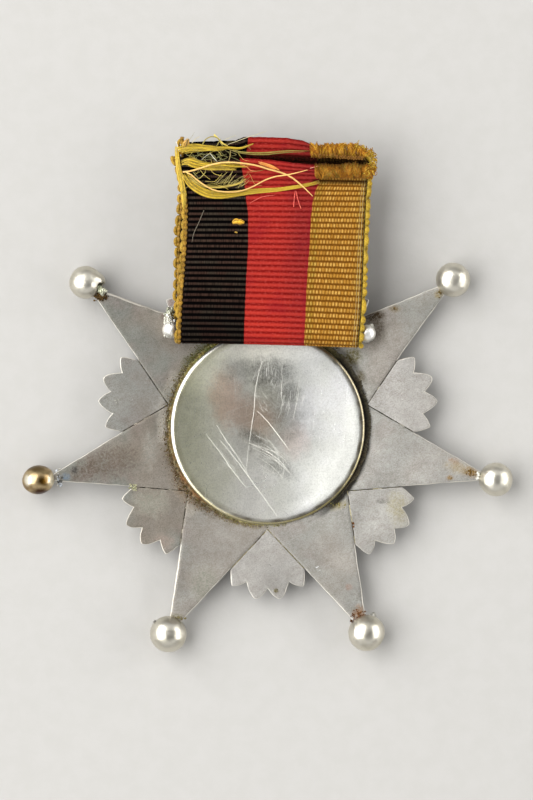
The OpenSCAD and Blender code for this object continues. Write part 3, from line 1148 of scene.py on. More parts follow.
@dataclass
class Balls:
    """Hollow balls on the tips, each open where its arm goes in."""

    wall: float = 0.3
    height: float = 3.2
    torn: int = 1
    gilt: int = 2
    arm_end_w: float = 0.15
    arm_slope: float = math.tan(math.radians(17.3))
    play: float = 0.02
    slot_half: float = 0.56
    flattened: dict[int, float] = field(default_factory=lambda: {2: 0.9})
    tear: tuple[tuple[float, float], ...] = (
        (-90, 7), (-60, 12), (-30, 20), (0, 27), (9, 31), (20, 44), (29, 51), (45, 47), (60, 43), (74, 36), (82, 46),
        (90, 42), (98, 36), (110, 46), (122, 38), (150, 30), (180, 24), (210, 16), (240, 10), (270, 7))

    def opening(self, i: int, turn: Array, radius: float) -> Array:
        """Rim of a ball's opening: a rounded slot, or the torn edge of the broken ball.

        Args:
            i: which ball.
            turn: turns round the inward axis.
            radius: the ball's radius.

        Returns:
            The rim's angle from the inward axis at each turn.
        """
        if i == self.torn:
            table = np.array(self.tear)
            ragged = 1.6 * np.sin(turn * 13) + 1.2 * np.sin(turn * 29 + 1)
            deg = np.degrees(turn + math.pi / 2) % 360 - 90
            return np.radians(np.interp(deg, table[:, 0], table[:, 1]) + ragged)
        row = ARM_ROWS[i]
        half_w = self.arm_end_w + (row.end_r - row.ball_r + radius) * self.arm_slope + self.play
        reach = ((np.abs(np.cos(turn)) / self.slot_half) ** 5 + (np.abs(np.sin(turn)) / half_w) ** 5) ** -0.2
        return np.arcsin(np.clip(reach / radius, 0, 0.9))

    def grid(self, i: int) -> Array:
        """One hollow ball as a closed grid.

        Rows run over the inside from the far pole to the opening, round its lip, and over the outside to the far
        pole: middle + radius * (cos(a) * inward + sin(a) * (cos(t) * up + sin(t) * left)), with small dents.

        Args:
            i: which ball.

        Returns:
            The grid.
        """
        row = ARM_ROWS[i]
        radius = row.ball_d / 2
        angle = math.pi / 2 + i * STEP
        inward = -np.array([math.cos(angle), math.sin(angle), 0])
        up = np.array([0.0, 0, 1])
        left = np.cross(up, inward)
        middle = -inward * row.ball_r + up * self.height
        turn = np.linspace(0, 2 * math.pi, 96, endpoint=False)
        rim = self.opening(i, turn, radius)
        shares = np.concatenate([np.linspace(1, 0, 14), np.linspace(0, 1, 44)])
        deep = np.concatenate([np.full(13, radius - self.wall), [radius - self.wall * 0.8, radius - self.wall * 0.2],
                               np.full(43, radius)])
        a = rim[None] + (math.pi - 0.03 - rim[None]) * shares[:, None] ** 1.15
        spoke = np.cos(turn)[None, :, None] * up + np.sin(turn)[None, :, None] * left
        way = np.cos(a)[..., None] * inward + np.sin(a)[..., None] * spoke
        far = deep[:, None] * (1 + 0.010 * ripple(way, 1.6, 40 + i) + 0.004 * ripple(way, 0.5, 60 + i))
        if i == self.torn:
            peel = ease(np.degrees(np.abs(turn - 1.5)), 75, 30)[None] * ease(np.degrees(a), 88, 45)
            far = far * (1 + 0.20 * peel)
        flat = self.flattened.get(i, 1.0)
        return middle + (way - (1 - flat) * (way @ left)[..., None] * left) * far[..., None]

    def build(self, silver: bpy.types.Material, gilded: bpy.types.Material) -> None:
        """Makes the seven balls.

        Args:
            silver: the material of all but one.
            gilded: the material of the gold-brown one.
        """
        for i in range(7):
            shell = Shell(f"silver_ball_{i + 1}")
            shell.add(self.grid(i))
            shell.build(gilded if i == self.gilt else silver, f"ball_{i + 1}", slot="ball_silver")


@dataclass
class BackCap:
    """Dished cap with a rolled edge in a thin bezel, and the scratches on it."""

    dish_r: float = 14.3
    line_level: float = 4.3
    profile: tuple[tuple[float, float], ...] = (
        (14.3, 0.745), (14.7, 0.78), (15.05, 0.806), (15.3, 0.819), (15.5, 0.824), (15.65, 0.818), (15.78, 0.796),
        (15.89, 0.757), (16.0, 0.69), (16.08, 0.62), (16.15, 0.52), (16.19, 0.38), (16.2, 0.2), (16.2, 0.004))
    scratches: tuple[tuple[float, tuple[tuple[float, float], ...]], ...] = (
        (1.0, ((269.3, 351), (269.2, 361))),
        (1.1, ((262.3, 361), (258, 376), (255.2, 391), (254, 410), (251, 430), (249.2, 443))),
        (0.6, ((249.2, 443), (247.5, 456), (246, 472))),
        (0.7, ((282.6, 376), (281.3, 389), (282.4, 405))),
        (0.6, ((299.5, 386), (296.5, 404), (292.5, 421))),
        (1.5, ((257.5, 411), (268, 422), (278, 435), (289.2, 450))),
        (1.0, ((216.6, 425), (226, 440), (236, 454))),
        (1.1, ((206.0, 434), (219, 451), (233, 471), (247.2, 489))),
        (1.2, ((220, 440), (237, 461), (256, 487), (268, 503), (277.5, 517))),
        (0.7, ((228, 444), (241, 462), (253, 484))),
        (0.8, ((249, 443), (264, 450), (279, 460), (291, 474))),
        (0.7, ((252, 448), (268, 455), (288, 471))),
        (0.6, ((256, 456), (270, 465), (283, 478))),
        (0.5, ((262, 446), (276, 460), (282, 470))),
        (0.5, ((281, 455), (284, 466), (282, 476))),
        (0.5, ((240, 441), (258, 446), (274, 452), (286, 461))),
        (0.5, ((264, 448), (277, 453), (290, 466))),
        (0.45, ((256, 462), (268, 470), (281, 476))),
        (0.45, ((268, 456), (280, 464), (291, 475))),
        (0.45, ((277, 450), (279, 462), (280, 470))),
        (0.45, ((286, 462), (284, 472), (281, 480))),
        (0.45, ((266, 437), (277, 450), (285, 458))),
        (0.4, ((264.5, 354), (262, 366))),
        (0.4, ((300, 380), (297, 392), (296, 402))),
        (0.4, ((298, 384), (301, 374))),
        (0.4, ((216, 444), (228, 461), (240, 479))),
        (0.35, ((300, 463), (314, 470), (326, 466))),
        (0.35, ((234, 375), (236, 398))))

    def height(self, far: Array) -> Array:
        """Height of the dish: its slope grows with the distance, and the rim follows its section.

        Args:
            far: distances from the middle.

        Returns:
            Heights above the sheet.
        """
        table = np.array(self.profile)
        dish = 0.145 + 0.6 * (far / self.dish_r) ** 2.1
        return np.where(far < self.dish_r, dish, np.interp(far, table[:, 0], table[:, 1]))

    @staticmethod
    def sway(flat: Array) -> Array:
        """Slow unevenness of the dish and of its rim.

        Args:
            flat: places seen from above.

        Returns:
            Their rise.
        """
        far = np.linalg.norm(flat, axis=-1)
        spoke = flat / np.maximum(far, 0.1)[..., None]
        return 0.016 * ripple(flat, 13, 8) * ease(far, 15.6, 13) + 0.02 * ripple(spoke, 1.2, 5) * ease(far, 13, 15)

    def build(self, silver: bpy.types.Material, scratch: bpy.types.Material) -> None:
        """Makes the cap and its scratches.

        Args:
            silver: the cap's material.
            scratch: the scratches' material.
        """
        table = flowing(np.array(self.profile), 46)
        inner = np.linspace(0.3, 14.1, 44)
        far = np.concatenate([inner, table[:, 0]])
        high = np.concatenate([self.height(inner), table[:, 1]])
        edge = ease(far, 15.6, 15.8) * ease(high, 0.35, 0.6)
        turn = np.linspace(0, 2 * math.pi, 288, endpoint=False)
        spoke = np.stack([np.cos(turn), np.sin(turn)], -1)
        flat = far[:, None, None] * spoke[None]
        z = high[:, None] + self.sway(flat)
        z[-1] = 0.004
        right = (0.5 + 0.5 * np.cos(turn + 0.3))[None]
        crease = ease(far[:, None], 15.1, 15.5) * ease(far[:, None], 15.75 + 0.30 * right, 15.6 + 0.25 * right)
        crease = crease * np.clip(0.35 + 0.45 * right + 0.2 * ripple(spoke * 16, 3.0, 71), 0, 1)
        under = np.array([0.09, 0.02])
        grid = np.concatenate([flat, (z + SHEET_TOP)[..., None]], -1)
        inside = np.concatenate([np.broadcast_to(spoke * 15.8, (2, *spoke.shape)),
                                 np.broadcast_to((under + SHEET_TOP)[::-1, None, None], (2, len(turn), 1))], -1)
        grid = np.concatenate([grid, inside])
        shell = Shell("dished_cap")
        shell.add(grid, edge=np.concatenate([edge, [0, 0]])[:, None] * np.ones(len(turn)),
                  crease=np.concatenate([crease, 0 * crease[:2]]))
        shell.build(silver, "back_cap", slot="cap_silver")
        self.lines(scratch)

    def lines(self, finish: bpy.types.Material) -> None:
        """Bright scratches on the dish: thin flat threads, those of the table first, then groups of faint ones.

        Args:
            finish: their material.
        """
        marks = Shell("cap_scratches")
        rng = np.random.default_rng(31)
        faint = []
        for x, y, spread, way, count in ((273, 458, 13, -38, 24), (266, 374, 20, 84, 20), (290, 402, 16, 80, 16),
                                         (232, 458, 20, -56, 10), (262, 440, 12, -30, 8), (262, 400, 12, -50, 8)):
            middle = np.array((x, y)) + np.clip(rng.normal(0, 0.5, (count, 2)), -0.8, 0.8) * spread
            turn = np.radians(-way + rng.normal(0, 12, count))
            half = rng.uniform(1.5, 8, count)[:, None] * np.stack([np.cos(turn), np.sin(turn)], -1)
            faint += [(0.55, ((a[0] - h[0], a[1] - h[1]), (a[0] + h[0], a[1] + h[1]))) for a, h in zip(middle, half)]
        for wide, line in (*self.scratches, *faint):
            places = 26 if len(line) > 2 else 12
            whole = line if len(line) > 2 else (line[0], tuple(np.mean(line, 0)), line[1])
            path = flowing([(*p, 0) for p in whole], places)
            path = PICTURE.at(path[:, 0], path[:, 1], self.line_level)
            path[:, :2] += 0.012 * ripple(path[:, :2], 1.5, 3)[:, None]
            path[:, 2] = SHEET_TOP + 0.012 + self.height(np.linalg.norm(path[:, :2], axis=1)) + self.sway(path[:, :2])
            taper = np.sin(np.linspace(0.3, math.pi - 0.3, places)) ** 0.6
            ring = tube(path[None], 0.036 * wide * taper[None], 6)
            ring[..., 2] = path[None, :, None, 2] + (ring[..., 2] - path[None, :, None, 2]) * 0.2
            marks.add(ring, tint=np.array(tone(246, 243, 232) if places > 12 else tone(216, 214, 206)))
        marks.build(finish)


@dataclass
class BarEnds:
    """The ribbon's bar: a rod with a ball at each end and a short foot under each."""

    middle: tuple[float, float] = (0.2, 16.0)
    turn: float = math.radians(-1.2)
    half: float = 16.3
    height: float = 6.95
    rod_r: float = 0.8
    ball_r: float = 1.375
    foot_r: float = 0.8

    def place(self, points: Array) -> Array:
        """Points of the bar's own frame in the star's frame."""
        flat = turned(points[..., :2].reshape(-1, 2), self.turn).reshape(*points.shape[:-1], 2)
        return np.concatenate([flat + self.middle, points[..., 2:]], -1)

    def build(self, silver: bpy.types.Material) -> None:
        """Makes the bar as one piece: rod and balls as one profile carried round the rod's line, and two feet.

        Args:
            silver: its material.
        """
        shell = Shell("ribbon_bar")
        angle = np.linspace(0.06, math.pi - 0.62, 22)
        x = self.half + self.ball_r * np.cos(angle)
        r = self.ball_r * np.sin(angle)
        along = np.concatenate([x, np.linspace(self.half - 1.6, -self.half + 1.6, 12), -x[::-1]])
        radius = np.concatenate([r, np.full(12, self.rod_r), r[::-1]])
        turn = np.linspace(0, 2 * math.pi, 40, endpoint=False)
        radius = radius[:, None]
        grid = np.stack([along[:, None] + 0 * turn, radius * np.cos(turn), radius * np.sin(turn)], -1)
        dents = 1 + 0.035 * ripple(grid, 1.5, 77) * ease(np.abs(along), self.half - 1.4, self.half - 0.9)[:, None]
        grid[..., 1:] *= dents[..., None]
        grid[..., 2] += self.height
        shell.add(self.place(grid))
        for side in (-1, 1):
            z = np.linspace(SHEET_TOP, self.height - 0.6, 10)
            flare = self.foot_r * (1 + 0.9 * np.exp(-(z - SHEET_TOP) / 0.35))
            flare = flare[:, None]
            x, y = side * self.half + flare * np.cos(turn), flare * np.sin(turn)
            shell.add(self.place(np.stack([x, y, z[:, None] + 0 * turn], -1)))
        shell.build(silver, "suspension_bar", slot="bar_silver")


@dataclass(frozen=True)
class Heap:
    """A heap of lumps: its middle and spread in the picture, its height and rise, and the lumps' number and size."""

    px: float
    py: float
    sx: float
    sy: float
    z: float
    rise: float
    count: int
    size: float
    colour: Colour


BRIGHT, GREY = tone(222, 220, 208), tone(176, 174, 164)
SOLDER_HEAPS = (
    Heap(169.8, 324.5, 5.5, 12, 6.0, 1.9, 220, 0.24, BRIGHT),
    Heap(170.0, 313.5, 4.5, 6, 4.9, 0.9, 70, 0.24, tone(206, 208, 186)),
    # The whitest lumps, on top of the left bar end's heap: painted highlight.
    Heap(171.6, 328, 3.6, 8, 7.4, 0.75, 70, 0.26, tone(244, 242, 236)),
    Heap(168.5, 333, 4, 4, 4.6, 0.6, 30, 0.2, BRIGHT), Heap(371, 326, 2.5, 2, 6.6, 0.3, 5, 0.32, GREY),
    Heap(368, 337, 5, 4, 4.6, 0.5, 8, 0.4, GREY), Heap(58.6, 478, 4, 9, 3.4, 0.35, 30, 0.2, tone(196, 200, 204)),
    Heap(60, 470.5, 2, 2, 3.5, 0.1, 3, 0.12, BRIGHT), Heap(58, 485, 2, 2, 3.5, 0.2, 3, 0.18, GREY),
    Heap(100, 288.5, 4, 4, 3.9, 0.2, 10, 0.42, tone(196, 198, 170)),
    Heap(103, 291, 4, 3, 3.85, 0.1, 7, 0.4, tone(200, 200, 178)), Heap(478, 474, 2, 5, 3.8, 0.1, 5, 0.3, BRIGHT),
    Heap(372, 615.5, 1.5, 1.5, 3.5, 0.2, 2, 0.35, GREY), Heap(154.5, 622.5, 1.5, 1.5, 3.6, 0.2, 2, 0.35, GREY),
    Heap(320, 568, 5, 3, 3.72, 0.0, 4, 0.09, tone(250, 250, 250)), Heap(118, 402, 5, 3, 3.7, 0.02, 4, 0.12, GREY),
    Heap(133.5, 486.5, 4.5, 4, 3.6, 0.12, 16, 0.2, tone(176, 174, 140)))
CRUMB_HEAPS = (
    Heap(100.5, 296.5, 7, 4.5, 3.8, 0.14, 70, 0.14, tone(96, 74, 42)),
    Heap(103, 297, 6, 4, 3.8, 0.1, 40, 0.12, tone(60, 46, 26)),
    Heap(358, 616, 8, 7, 3.71, 0.03, 56, 0.12, tone(112, 76, 46)),
    Heap(357, 621, 7, 2.5, 3.76, 0.08, 30, 0.14, tone(82, 54, 32)),
    Heap(175, 618.5, 12, 2, 3.72, 0.05, 12, 0.2, tone(128, 118, 84)),
    Heap(440, 294, 4, 5, 3.7, 0.03, 10, 0.12, tone(104, 88, 46)),
    Heap(471, 472.5, 6, 4, 3.68, 0.02, 22, 0.11, tone(112, 84, 36)),
    Heap(338, 505.5, 8, 2.5, 3.68, 0.02, 12, 0.11, tone(150, 138, 80)),
    Heap(60, 479, 3, 7, 3.7, 0.1, 8, 0.2, tone(96, 96, 92)),
    Heap(353, 525, 1, 5, 3.7, 0.03, 6, 0.12, tone(118, 78, 44)),
    Heap(276.5, 591, 2, 2, 3.7, 0.01, 4, 0.12, tone(130, 122, 84)),
    Heap(394.8, 309, 2, 2, 3.7, 0.02, 4, 0.15, tone(112, 92, 56)),
    Heap(450, 478, 3, 2, 3.69, 0.02, 6, 0.1, tone(140, 110, 50)))


@dataclass
class Residue:
    """Crumbly band of old polish round the cap, almost black on the right with painted shadow of the cap's rim,
    solder along the seams, and the lumps at the joints.
    """

    seed: int = 4
    ring_r: float = 16.1
    crumb_r: float = 16.2
    clock: tuple[tuple[float, float, Colour], ...] = (
        (-180, 1.1, tone(120, 102, 60)), (-165, 1.4, tone(112, 90, 52)), (-150, 1.6, tone(108, 80, 48)),
        (-135, 1.5, tone(106, 78, 48)), (-118, 0.9, tone(124, 104, 62)), (-100, 0.45, tone(168, 160, 100)),
        (-84, 0.32, tone(180, 174, 104)), (-68, 0.22, tone(120, 112, 70)), (-57, 0.25, tone(60, 54, 38)),
        # From -45 to 42 degrees the band is near black: painted shadow of the cap's rim over dark residue.
        (-45, 0.45, tone(34, 28, 18)), (-30, 0.85, tone(38, 31, 21)), (-15, 1.05, tone(26, 21, 14)),
        (5, 1.25, tone(16, 12, 8)), (30, 1.35, tone(14, 11, 6)), (42, 1.4, tone(12, 10, 5)),
        (60, 1.1, tone(90, 78, 40)), (110, 1.5, tone(124, 118, 58)), (130, 1.65, tone(114, 110, 52)),
        (150, 1.25, tone(118, 106, 56)), (165, 1.0, tone(118, 100, 56)), (180, 1.1, tone(120, 102, 60)))

    def around(self, degrees: Array) -> tuple[Array, Array]:
        """Reads the band's table.

        Args:
            degrees: angles from +X.

        Returns:
            Width and colour of the band at each.
        """
        at = np.array([c[0] for c in self.clock])
        tint = np.array([c[2] for c in self.clock])
        wide = np.interp(degrees, at, [c[1] for c in self.clock])
        return wide, np.stack([np.interp(degrees, at, tint[:, k]) for k in range(3)], -1)

    def band(self, crust: bpy.types.Material) -> None:
        """Dried polish: a low lumpy ring against the cap, and crumbs that thin out away from it. On the right the
        ring is near black: painted shadow of the cap's rim over dark residue.

        The ring is a flat half round whose width, height and edge vary with random waves. A crumb's distance from the
        cap is the size of a normal random number times the band's width there.

        Args:
            crust: its material.
        """
        turn = np.linspace(-math.pi, math.pi, 900, endpoint=False)
        wide, tint = self.around(np.degrees(turn))
        # 1 on the right, where the ring is painted near black as the shadow of the cap's rim.
        dark = ease(np.cos(turn), 0.1, 0.6) * ease(np.sin(turn), 0.9, 0.75)
        solid = wide * (0.5 + 0.35 * dark)
        spoke = np.stack([np.cos(turn), np.sin(turn)], -1)
        share = np.linspace(0, 1, 7)
        rough = 1 + 0.16 * ripple(spoke * 16, 2.6, self.seed) + 0.10 * ripple(spoke * 16, 0.5, self.seed + 1)
        out = self.ring_r + (solid * np.clip(rough, 0.3, 1.6))[None] * share[:, None]
        flat = out[..., None] * spoke[None]
        hump = (1 - share[:, None] ** 2) * (0.06 + 0.10 * wide[None]) * (1 + 0.35 * ripple(flat, 0.35, self.seed + 2))
        z = SHEET_TOP + np.maximum(hump, 0.0) * (share[:, None] < 1) - 0.02
        grid = np.concatenate([flat, z[..., None]], -1)
        low = np.concatenate([flat[::-6], np.full((2, len(turn), 1), SHEET_TOP - 0.05)], -1)
        section = np.concatenate([grid, low]).transpose(1, 0, 2)
        fade = np.concatenate([share, share[::-6]])[None, :, None] ** 2 * (0.75 - 0.5 * dark[:, None, None])
        base = tint[:, None] * (1 - fade) + np.array(tone(146, 138, 112)) * fade
        hue = np.array((0.10, -0.02, -0.08)) * ripple(section, 1.8, 9)[..., None]
        colours = base * (1.0 + (0.35 * ripple(section, 0.7, 10)[..., None] + hue) * (1 - 0.6 * dark[:, None, None]))
        shell = Shell("residue_and_shadow_band")
        shell.add(section, lids=False, loop=True, tint=np.clip(colours, 0.002, 1))
        rng = np.random.default_rng(self.seed)
        at = rng.uniform(-180, 180, 12000)
        wide, tint = self.around(at)
        keep = rng.uniform(0, 1.3, len(at)) < wide * np.where(np.cos(np.radians(at)) > 0.2, 0.12, 1.0)
        at, wide, tint = (v[keep][:4200] for v in (at, wide, tint))
        far = self.crumb_r + np.minimum(wide * np.abs(rng.normal(0, 0.62, len(at))), 2.4)
        size = rng.uniform(0.025, 0.10, (len(at), 1)) * rng.uniform(0.7, 1.3, (len(at), 3))
        lift = 0.10 * wide * np.clip(1 - (far - self.crumb_r) / wide, 0, 1) * rng.uniform(0, 1, len(at))
        spots = np.stack([far * np.cos(np.radians(at)), far * np.sin(np.radians(at)), SHEET_TOP + lift], -1)
        kinds = np.array((tone(84, 52, 30), tone(186, 178, 146), tone(96, 102, 44)))
        share = rng.uniform(0, 1, (len(at), 1)) ** 2
        tint = tint * (1 - share) + kinds[rng.choice(3, len(at), p=(0.45, 0.2, 0.35))] * share
        tint = np.clip(tint * rng.uniform(0.45, 1.4, (len(at), 1)), 0, 1)
        shell.add(pebbles(spots, size, 6, rings=3, sides=5), tint=tint[:, None, None])
        shell.build(crust)

    def lumps(self, name: str, finish: bpy.types.Material, heaps: tuple[Heap, ...]) -> None:
        """Makes a piece of lumps, each group heaped highest in its middle.

        Args:
            name: name of the piece.
            finish: the material.
            heaps: the groups.
        """
        shell = Shell(name)
        rng = np.random.default_rng(self.seed + len(heaps))
        for h in heaps:
            x = h.px + np.clip(rng.normal(0, 0.5, h.count), -0.9, 0.9) * h.sx
            y = h.py + np.clip(rng.normal(0, 0.5, h.count), -0.9, 0.9) * h.sy
            top = 1 - 1.5 * np.hypot((x - h.px) / h.sx, (y - h.py) / h.sy) + rng.uniform(-0.25, 0.25, h.count)
            at = PICTURE.at(x, y, h.z + h.rise * np.clip(top, -1, 1))
            sizes = h.size * rng.uniform(0.6, 1.35, (h.count, 3))
            tint = np.clip(np.array(h.colour) * rng.uniform(0.7, 1.3, (h.count, 1)), 0, 1)
            rings, sides = (7, 9) if h.size > 0.18 else (6, 8)
            shell.add(pebbles(at, sizes, int(h.px), rings=rings, sides=sides), tint=tint[:, None, None])
        shell.build(finish)

    def seams(self, solder: bpy.types.Material, sheet: StarSheet) -> None:
        """Solder in the seams beside the palmettes: a thin strip, flush where it bridges them and sunk elsewhere.

        Args:
            solder: its material.
            sheet: the star, for where its seams run.
        """
        shell = Shell("seam_solder")
        filled = (0.25, 0.45, 0.6, 1.0, 0.45, 0.3, 0.3)
        for i in range(7):
            axis = math.pi / 2 + STEP * (i + 0.5)
            angles = np.radians(np.linspace(0, 14.4, 90))
            far = sheet.edge_r(angles, sheet.seam_w / 2)
            for side in (-1, 1):
                line = turned(np.stack([far * np.cos(angles), side * far * np.sin(angles)], -1), axis)
                level = ripple(line, 3.2, 50 + i * 2 + side) + 0.35 * ripple(line, 0.8, 51)
                full = ease(level + 2.6 * filled[i] - 1.3, -0.25, 0.25)
                z = SHEET_TOP + 0.01 - 0.75 * (1 - full) + 0.02 * ripple(line, 0.7, 52)
                wide = 0.055 + 0.015 * full * (1 + ripple(line, 0.9, 53))
                path = np.concatenate([line, (z - 0.1)[:, None]], -1)[None]
                ring = tube(path, wide[None], 6)
                tint = np.array({3: tone(160, 148, 100), 4: tone(196, 186, 146)}.get(i, tone(112, 106, 92)))
                fleck = ease(ripple(line, 1.3, 54 + i), 0.3, 0.9)[None, :, None, None]
                shell.add(ring, tint=tint * (1 - fleck) + np.array(tone(206, 198, 176)) * fleck)
        shell.build(solder)

    def build(self, sheet: StarSheet, crust: bpy.types.Material, solder: bpy.types.Material) -> None:
        """Makes all of it.

        Args:
            sheet: the star, for where its seams run.
            crust: material of the dried polish and the crumbs.
            solder: material of the solder.
        """
        self.band(crust)
        self.seams(solder, sheet)
        self.lumps("solder_lumps", solder, SOLDER_HEAPS)
        self.lumps("joint_crumbs", crust, CRUMB_HEAPS)


@dataclass(frozen=True)
class Bundle:
    """A bundle of loose silk.

    Its line and its half width along that line are given in the picture, its height above the ribbon and the radius
    of a strand in millimetres. A strand may lack the share fray of its length.
    """

    line: tuple[tuple[float, float], ...]
    count: int
    wide: tuple[float, ...]
    lift: float
    thick: float
    colour: Colour
    seed: int
    fray: float = 0.12
    sides: int = 5


def single(line: tuple[tuple[float, float], ...], lift: float, thick: float, colour: Colour, seed: int,
           sides: int = 5) -> Bundle:
    """One loose thread along a line in the picture, as a bundle of one."""
    return Bundle(line, 1, (0.01, 0.01), lift, thick, colour, seed, 0.0, sides)


YELLOW, PALE, GREEN, PEACH = tone(204, 172, 48), tone(226, 204, 96), tone(150, 138, 62), tone(236, 190, 112)
SILK_BUNDLES = (
    Bundle(((176.4, 146), (177.2, 157), (178.6, 168), (180.5, 178), (183, 190), (184.5, 209)), 46,
           (1.4, 2.0, 2.8, 2.6, 1.6), 0.05, 0.042, tone(228, 194, 66), 1, 0.4),
    Bundle(((184, 150), (186, 144), (188.5, 138)), 16, (3, 3, 1.6), 0.1, 0.08, tone(206, 160, 70), 2, 0.4),
    Bundle(((176.5, 150), (185, 148.5), (196, 147.5), (207, 148), (218, 148.3), (227, 147.6)), 70,
           (2.4, 3.6, 3.2, 2.6, 2.4, 1.8), 0.15, 0.042, tone(220, 188, 58), 3, 0.5),
    Bundle(((214, 148.6), (228, 147.6), (241, 148), (249, 145.3), (256, 142.4)), 8, (2.2, 1.6, 1.0, 0.7, 0.6), 0.2,
           0.06, YELLOW, 4, 0.25),
    Bundle(((228, 148.5), (238.5, 152), (249, 153.4), (264, 153.8), (288, 151.5), (310, 151)), 7,
           (0.8, 1.2, 1.3, 1.2, 0.8), 0.12, 0.05, GREEN, 5, 0.4),
    Bundle(((181, 163), (188, 161.5), (198, 164.5), (211, 166.6), (222, 166.8), (237, 167.8)), 80,
           (2.0, 4.4, 3.8, 3.6, 3.5, 3.0), 0.1, 0.042, tone(216, 184, 56), 6, 0.35),
    Bundle(((222, 164.5), (238, 166), (250, 166.2)), 9, (2.2, 2.0, 1.4), 0.1, 0.05, YELLOW, 12, 0.5),
    Bundle(((182, 172), (186, 176), (190, 182.5), (197, 188.3), (208, 193.6), (222, 195), (234, 194), (246, 192.3),
           (261, 190.8), (276, 189.8), (293, 187.4), (306, 185), (320, 181.6)), 64,
           (3.6, 4.0, 3.8, 3.0, 2.3, 1.9, 1.8, 2.2), 0.1, 0.042, YELLOW, 7, 0.3),
    Bundle(((190, 176), (199, 184), (214, 187), (230, 185.4), (240, 182.6), (246.5, 178.6)), 14,
           (1.6, 1.5, 1.2, 1.3, 1.6), 0.22, 0.06, tone(206, 182, 84), 8, 0.2))
SILK_TUFTS = (
    Bundle(((258, 162.6), (268, 165.6), (280, 170.6)), 10, (1.5, 1.6, 0.8), 0.1, 0.06, tone(226, 150, 74), 9, 0.3),
    Bundle(((232.4, 222.8), (236, 221.6), (240.4, 221.8), (244.4, 222.6)), 34, (0.8, 2.1, 2.3, 0.9), 0.05, 0.085,
           tone(222, 170, 44), 10, 0.05),
    Bundle(((234.6, 232), (236, 232.4), (237.6, 232.6)), 4, (0.6, 0.7, 0.5), 0.03, 0.06, tone(196, 156, 60), 11,
           0.2))
SINGLE_THREADS = (
    (((182.6, 172), (191, 171), (198, 169), (211, 164.8), (222.4, 162.5), (234, 162.5), (245.3, 163.6),
      (257, 165.6), (268.3, 169.2), (280, 172.2), (287.4, 175), (303, 186.6), (312.8, 196.3)), PEACH, 0.12, 0.55),
    (((186, 172), (190.2, 174), (195.6, 178.6), (204.8, 185.4), (214.7, 190.4), (226.2, 191.9), (237.7, 191.6),
      (245.3, 189.7), (255.3, 185.4), (264.5, 180.3), (276, 176.4), (285, 175.2), (292, 173.9), (307.5, 169.9)),
      PEACH, 0.12, 0.6),
    (((202.5, 144.5), (205.6, 139.5), (212.4, 136.6), (217.8, 138.2), (221, 143.4), (224, 147)), GREEN, 0.09, 0.5),
    (((214, 134.4), (218.6, 139), (223.1, 143.6), (228, 146)), PALE, 0.12, 0.45),
    (((216, 147), (219, 142), (221, 138.5)), GREEN, 0.07, 0.5),
    (((227.7, 144.5), (237.7, 140.9), (248.4, 137), (256, 134.8), (267.5, 130.6)), tone(200, 190, 150), 0.045, 0.5),
    (((224.7, 139.8), (230, 137.5), (236.2, 135.2)), tone(190, 184, 150), 0.045, 0.5),
    (((192, 143), (196, 138.5), (200, 136.5)), tone(200, 190, 150), 0.04, 0.3),
    (((176, 141.5), (177, 144), (177.8, 147)), tone(220, 216, 200), 0.06, 0.2),
    (((201.7, 159.6), (206, 156), (210.1, 153.4)), tone(190, 190, 170), 0.045, 0.2),
    (((210.1, 153.4), (213.5, 157.5), (217.4, 162)), tone(214, 212, 190), 0.055, 0.2),
    (((228.5, 161.5), (230.2, 156), (230.6, 150)), tone(150, 132, 76), 0.06, 0.3),
    (((199.4, 178.8), (203, 175), (205.8, 172)), tone(180, 176, 110), 0.06, 0.2),
    (((193, 172), (196, 175.5), (199, 179)), tone(170, 168, 110), 0.05, 0.2),
    (((293.7, 207), (294.2, 199), (295.2, 191)), tone(226, 96, 80), 0.06, 0.15),
    (((301, 208.6), (298, 200), (296, 191)), tone(226, 96, 80), 0.06, 0.15),
    (((240, 164), (247, 167), (250, 170), (256, 171)), tone(226, 130, 84), 0.055, 0.2),
    (((250, 203), (262, 197), (275, 195)), tone(220, 96, 80), 0.05, 0.1),
    (((204, 210), (199, 222), (193, 236), (192, 242)), tone(120, 112, 96), 0.035, 0.1),
    (((310, 168.2), (314, 167.2), (318, 166.2)), tone(232, 160, 140), 0.06, 0.2))


class Edge(Enum):
    """An edge of the ribbon."""

    LEFT = 0
    RIGHT = 1


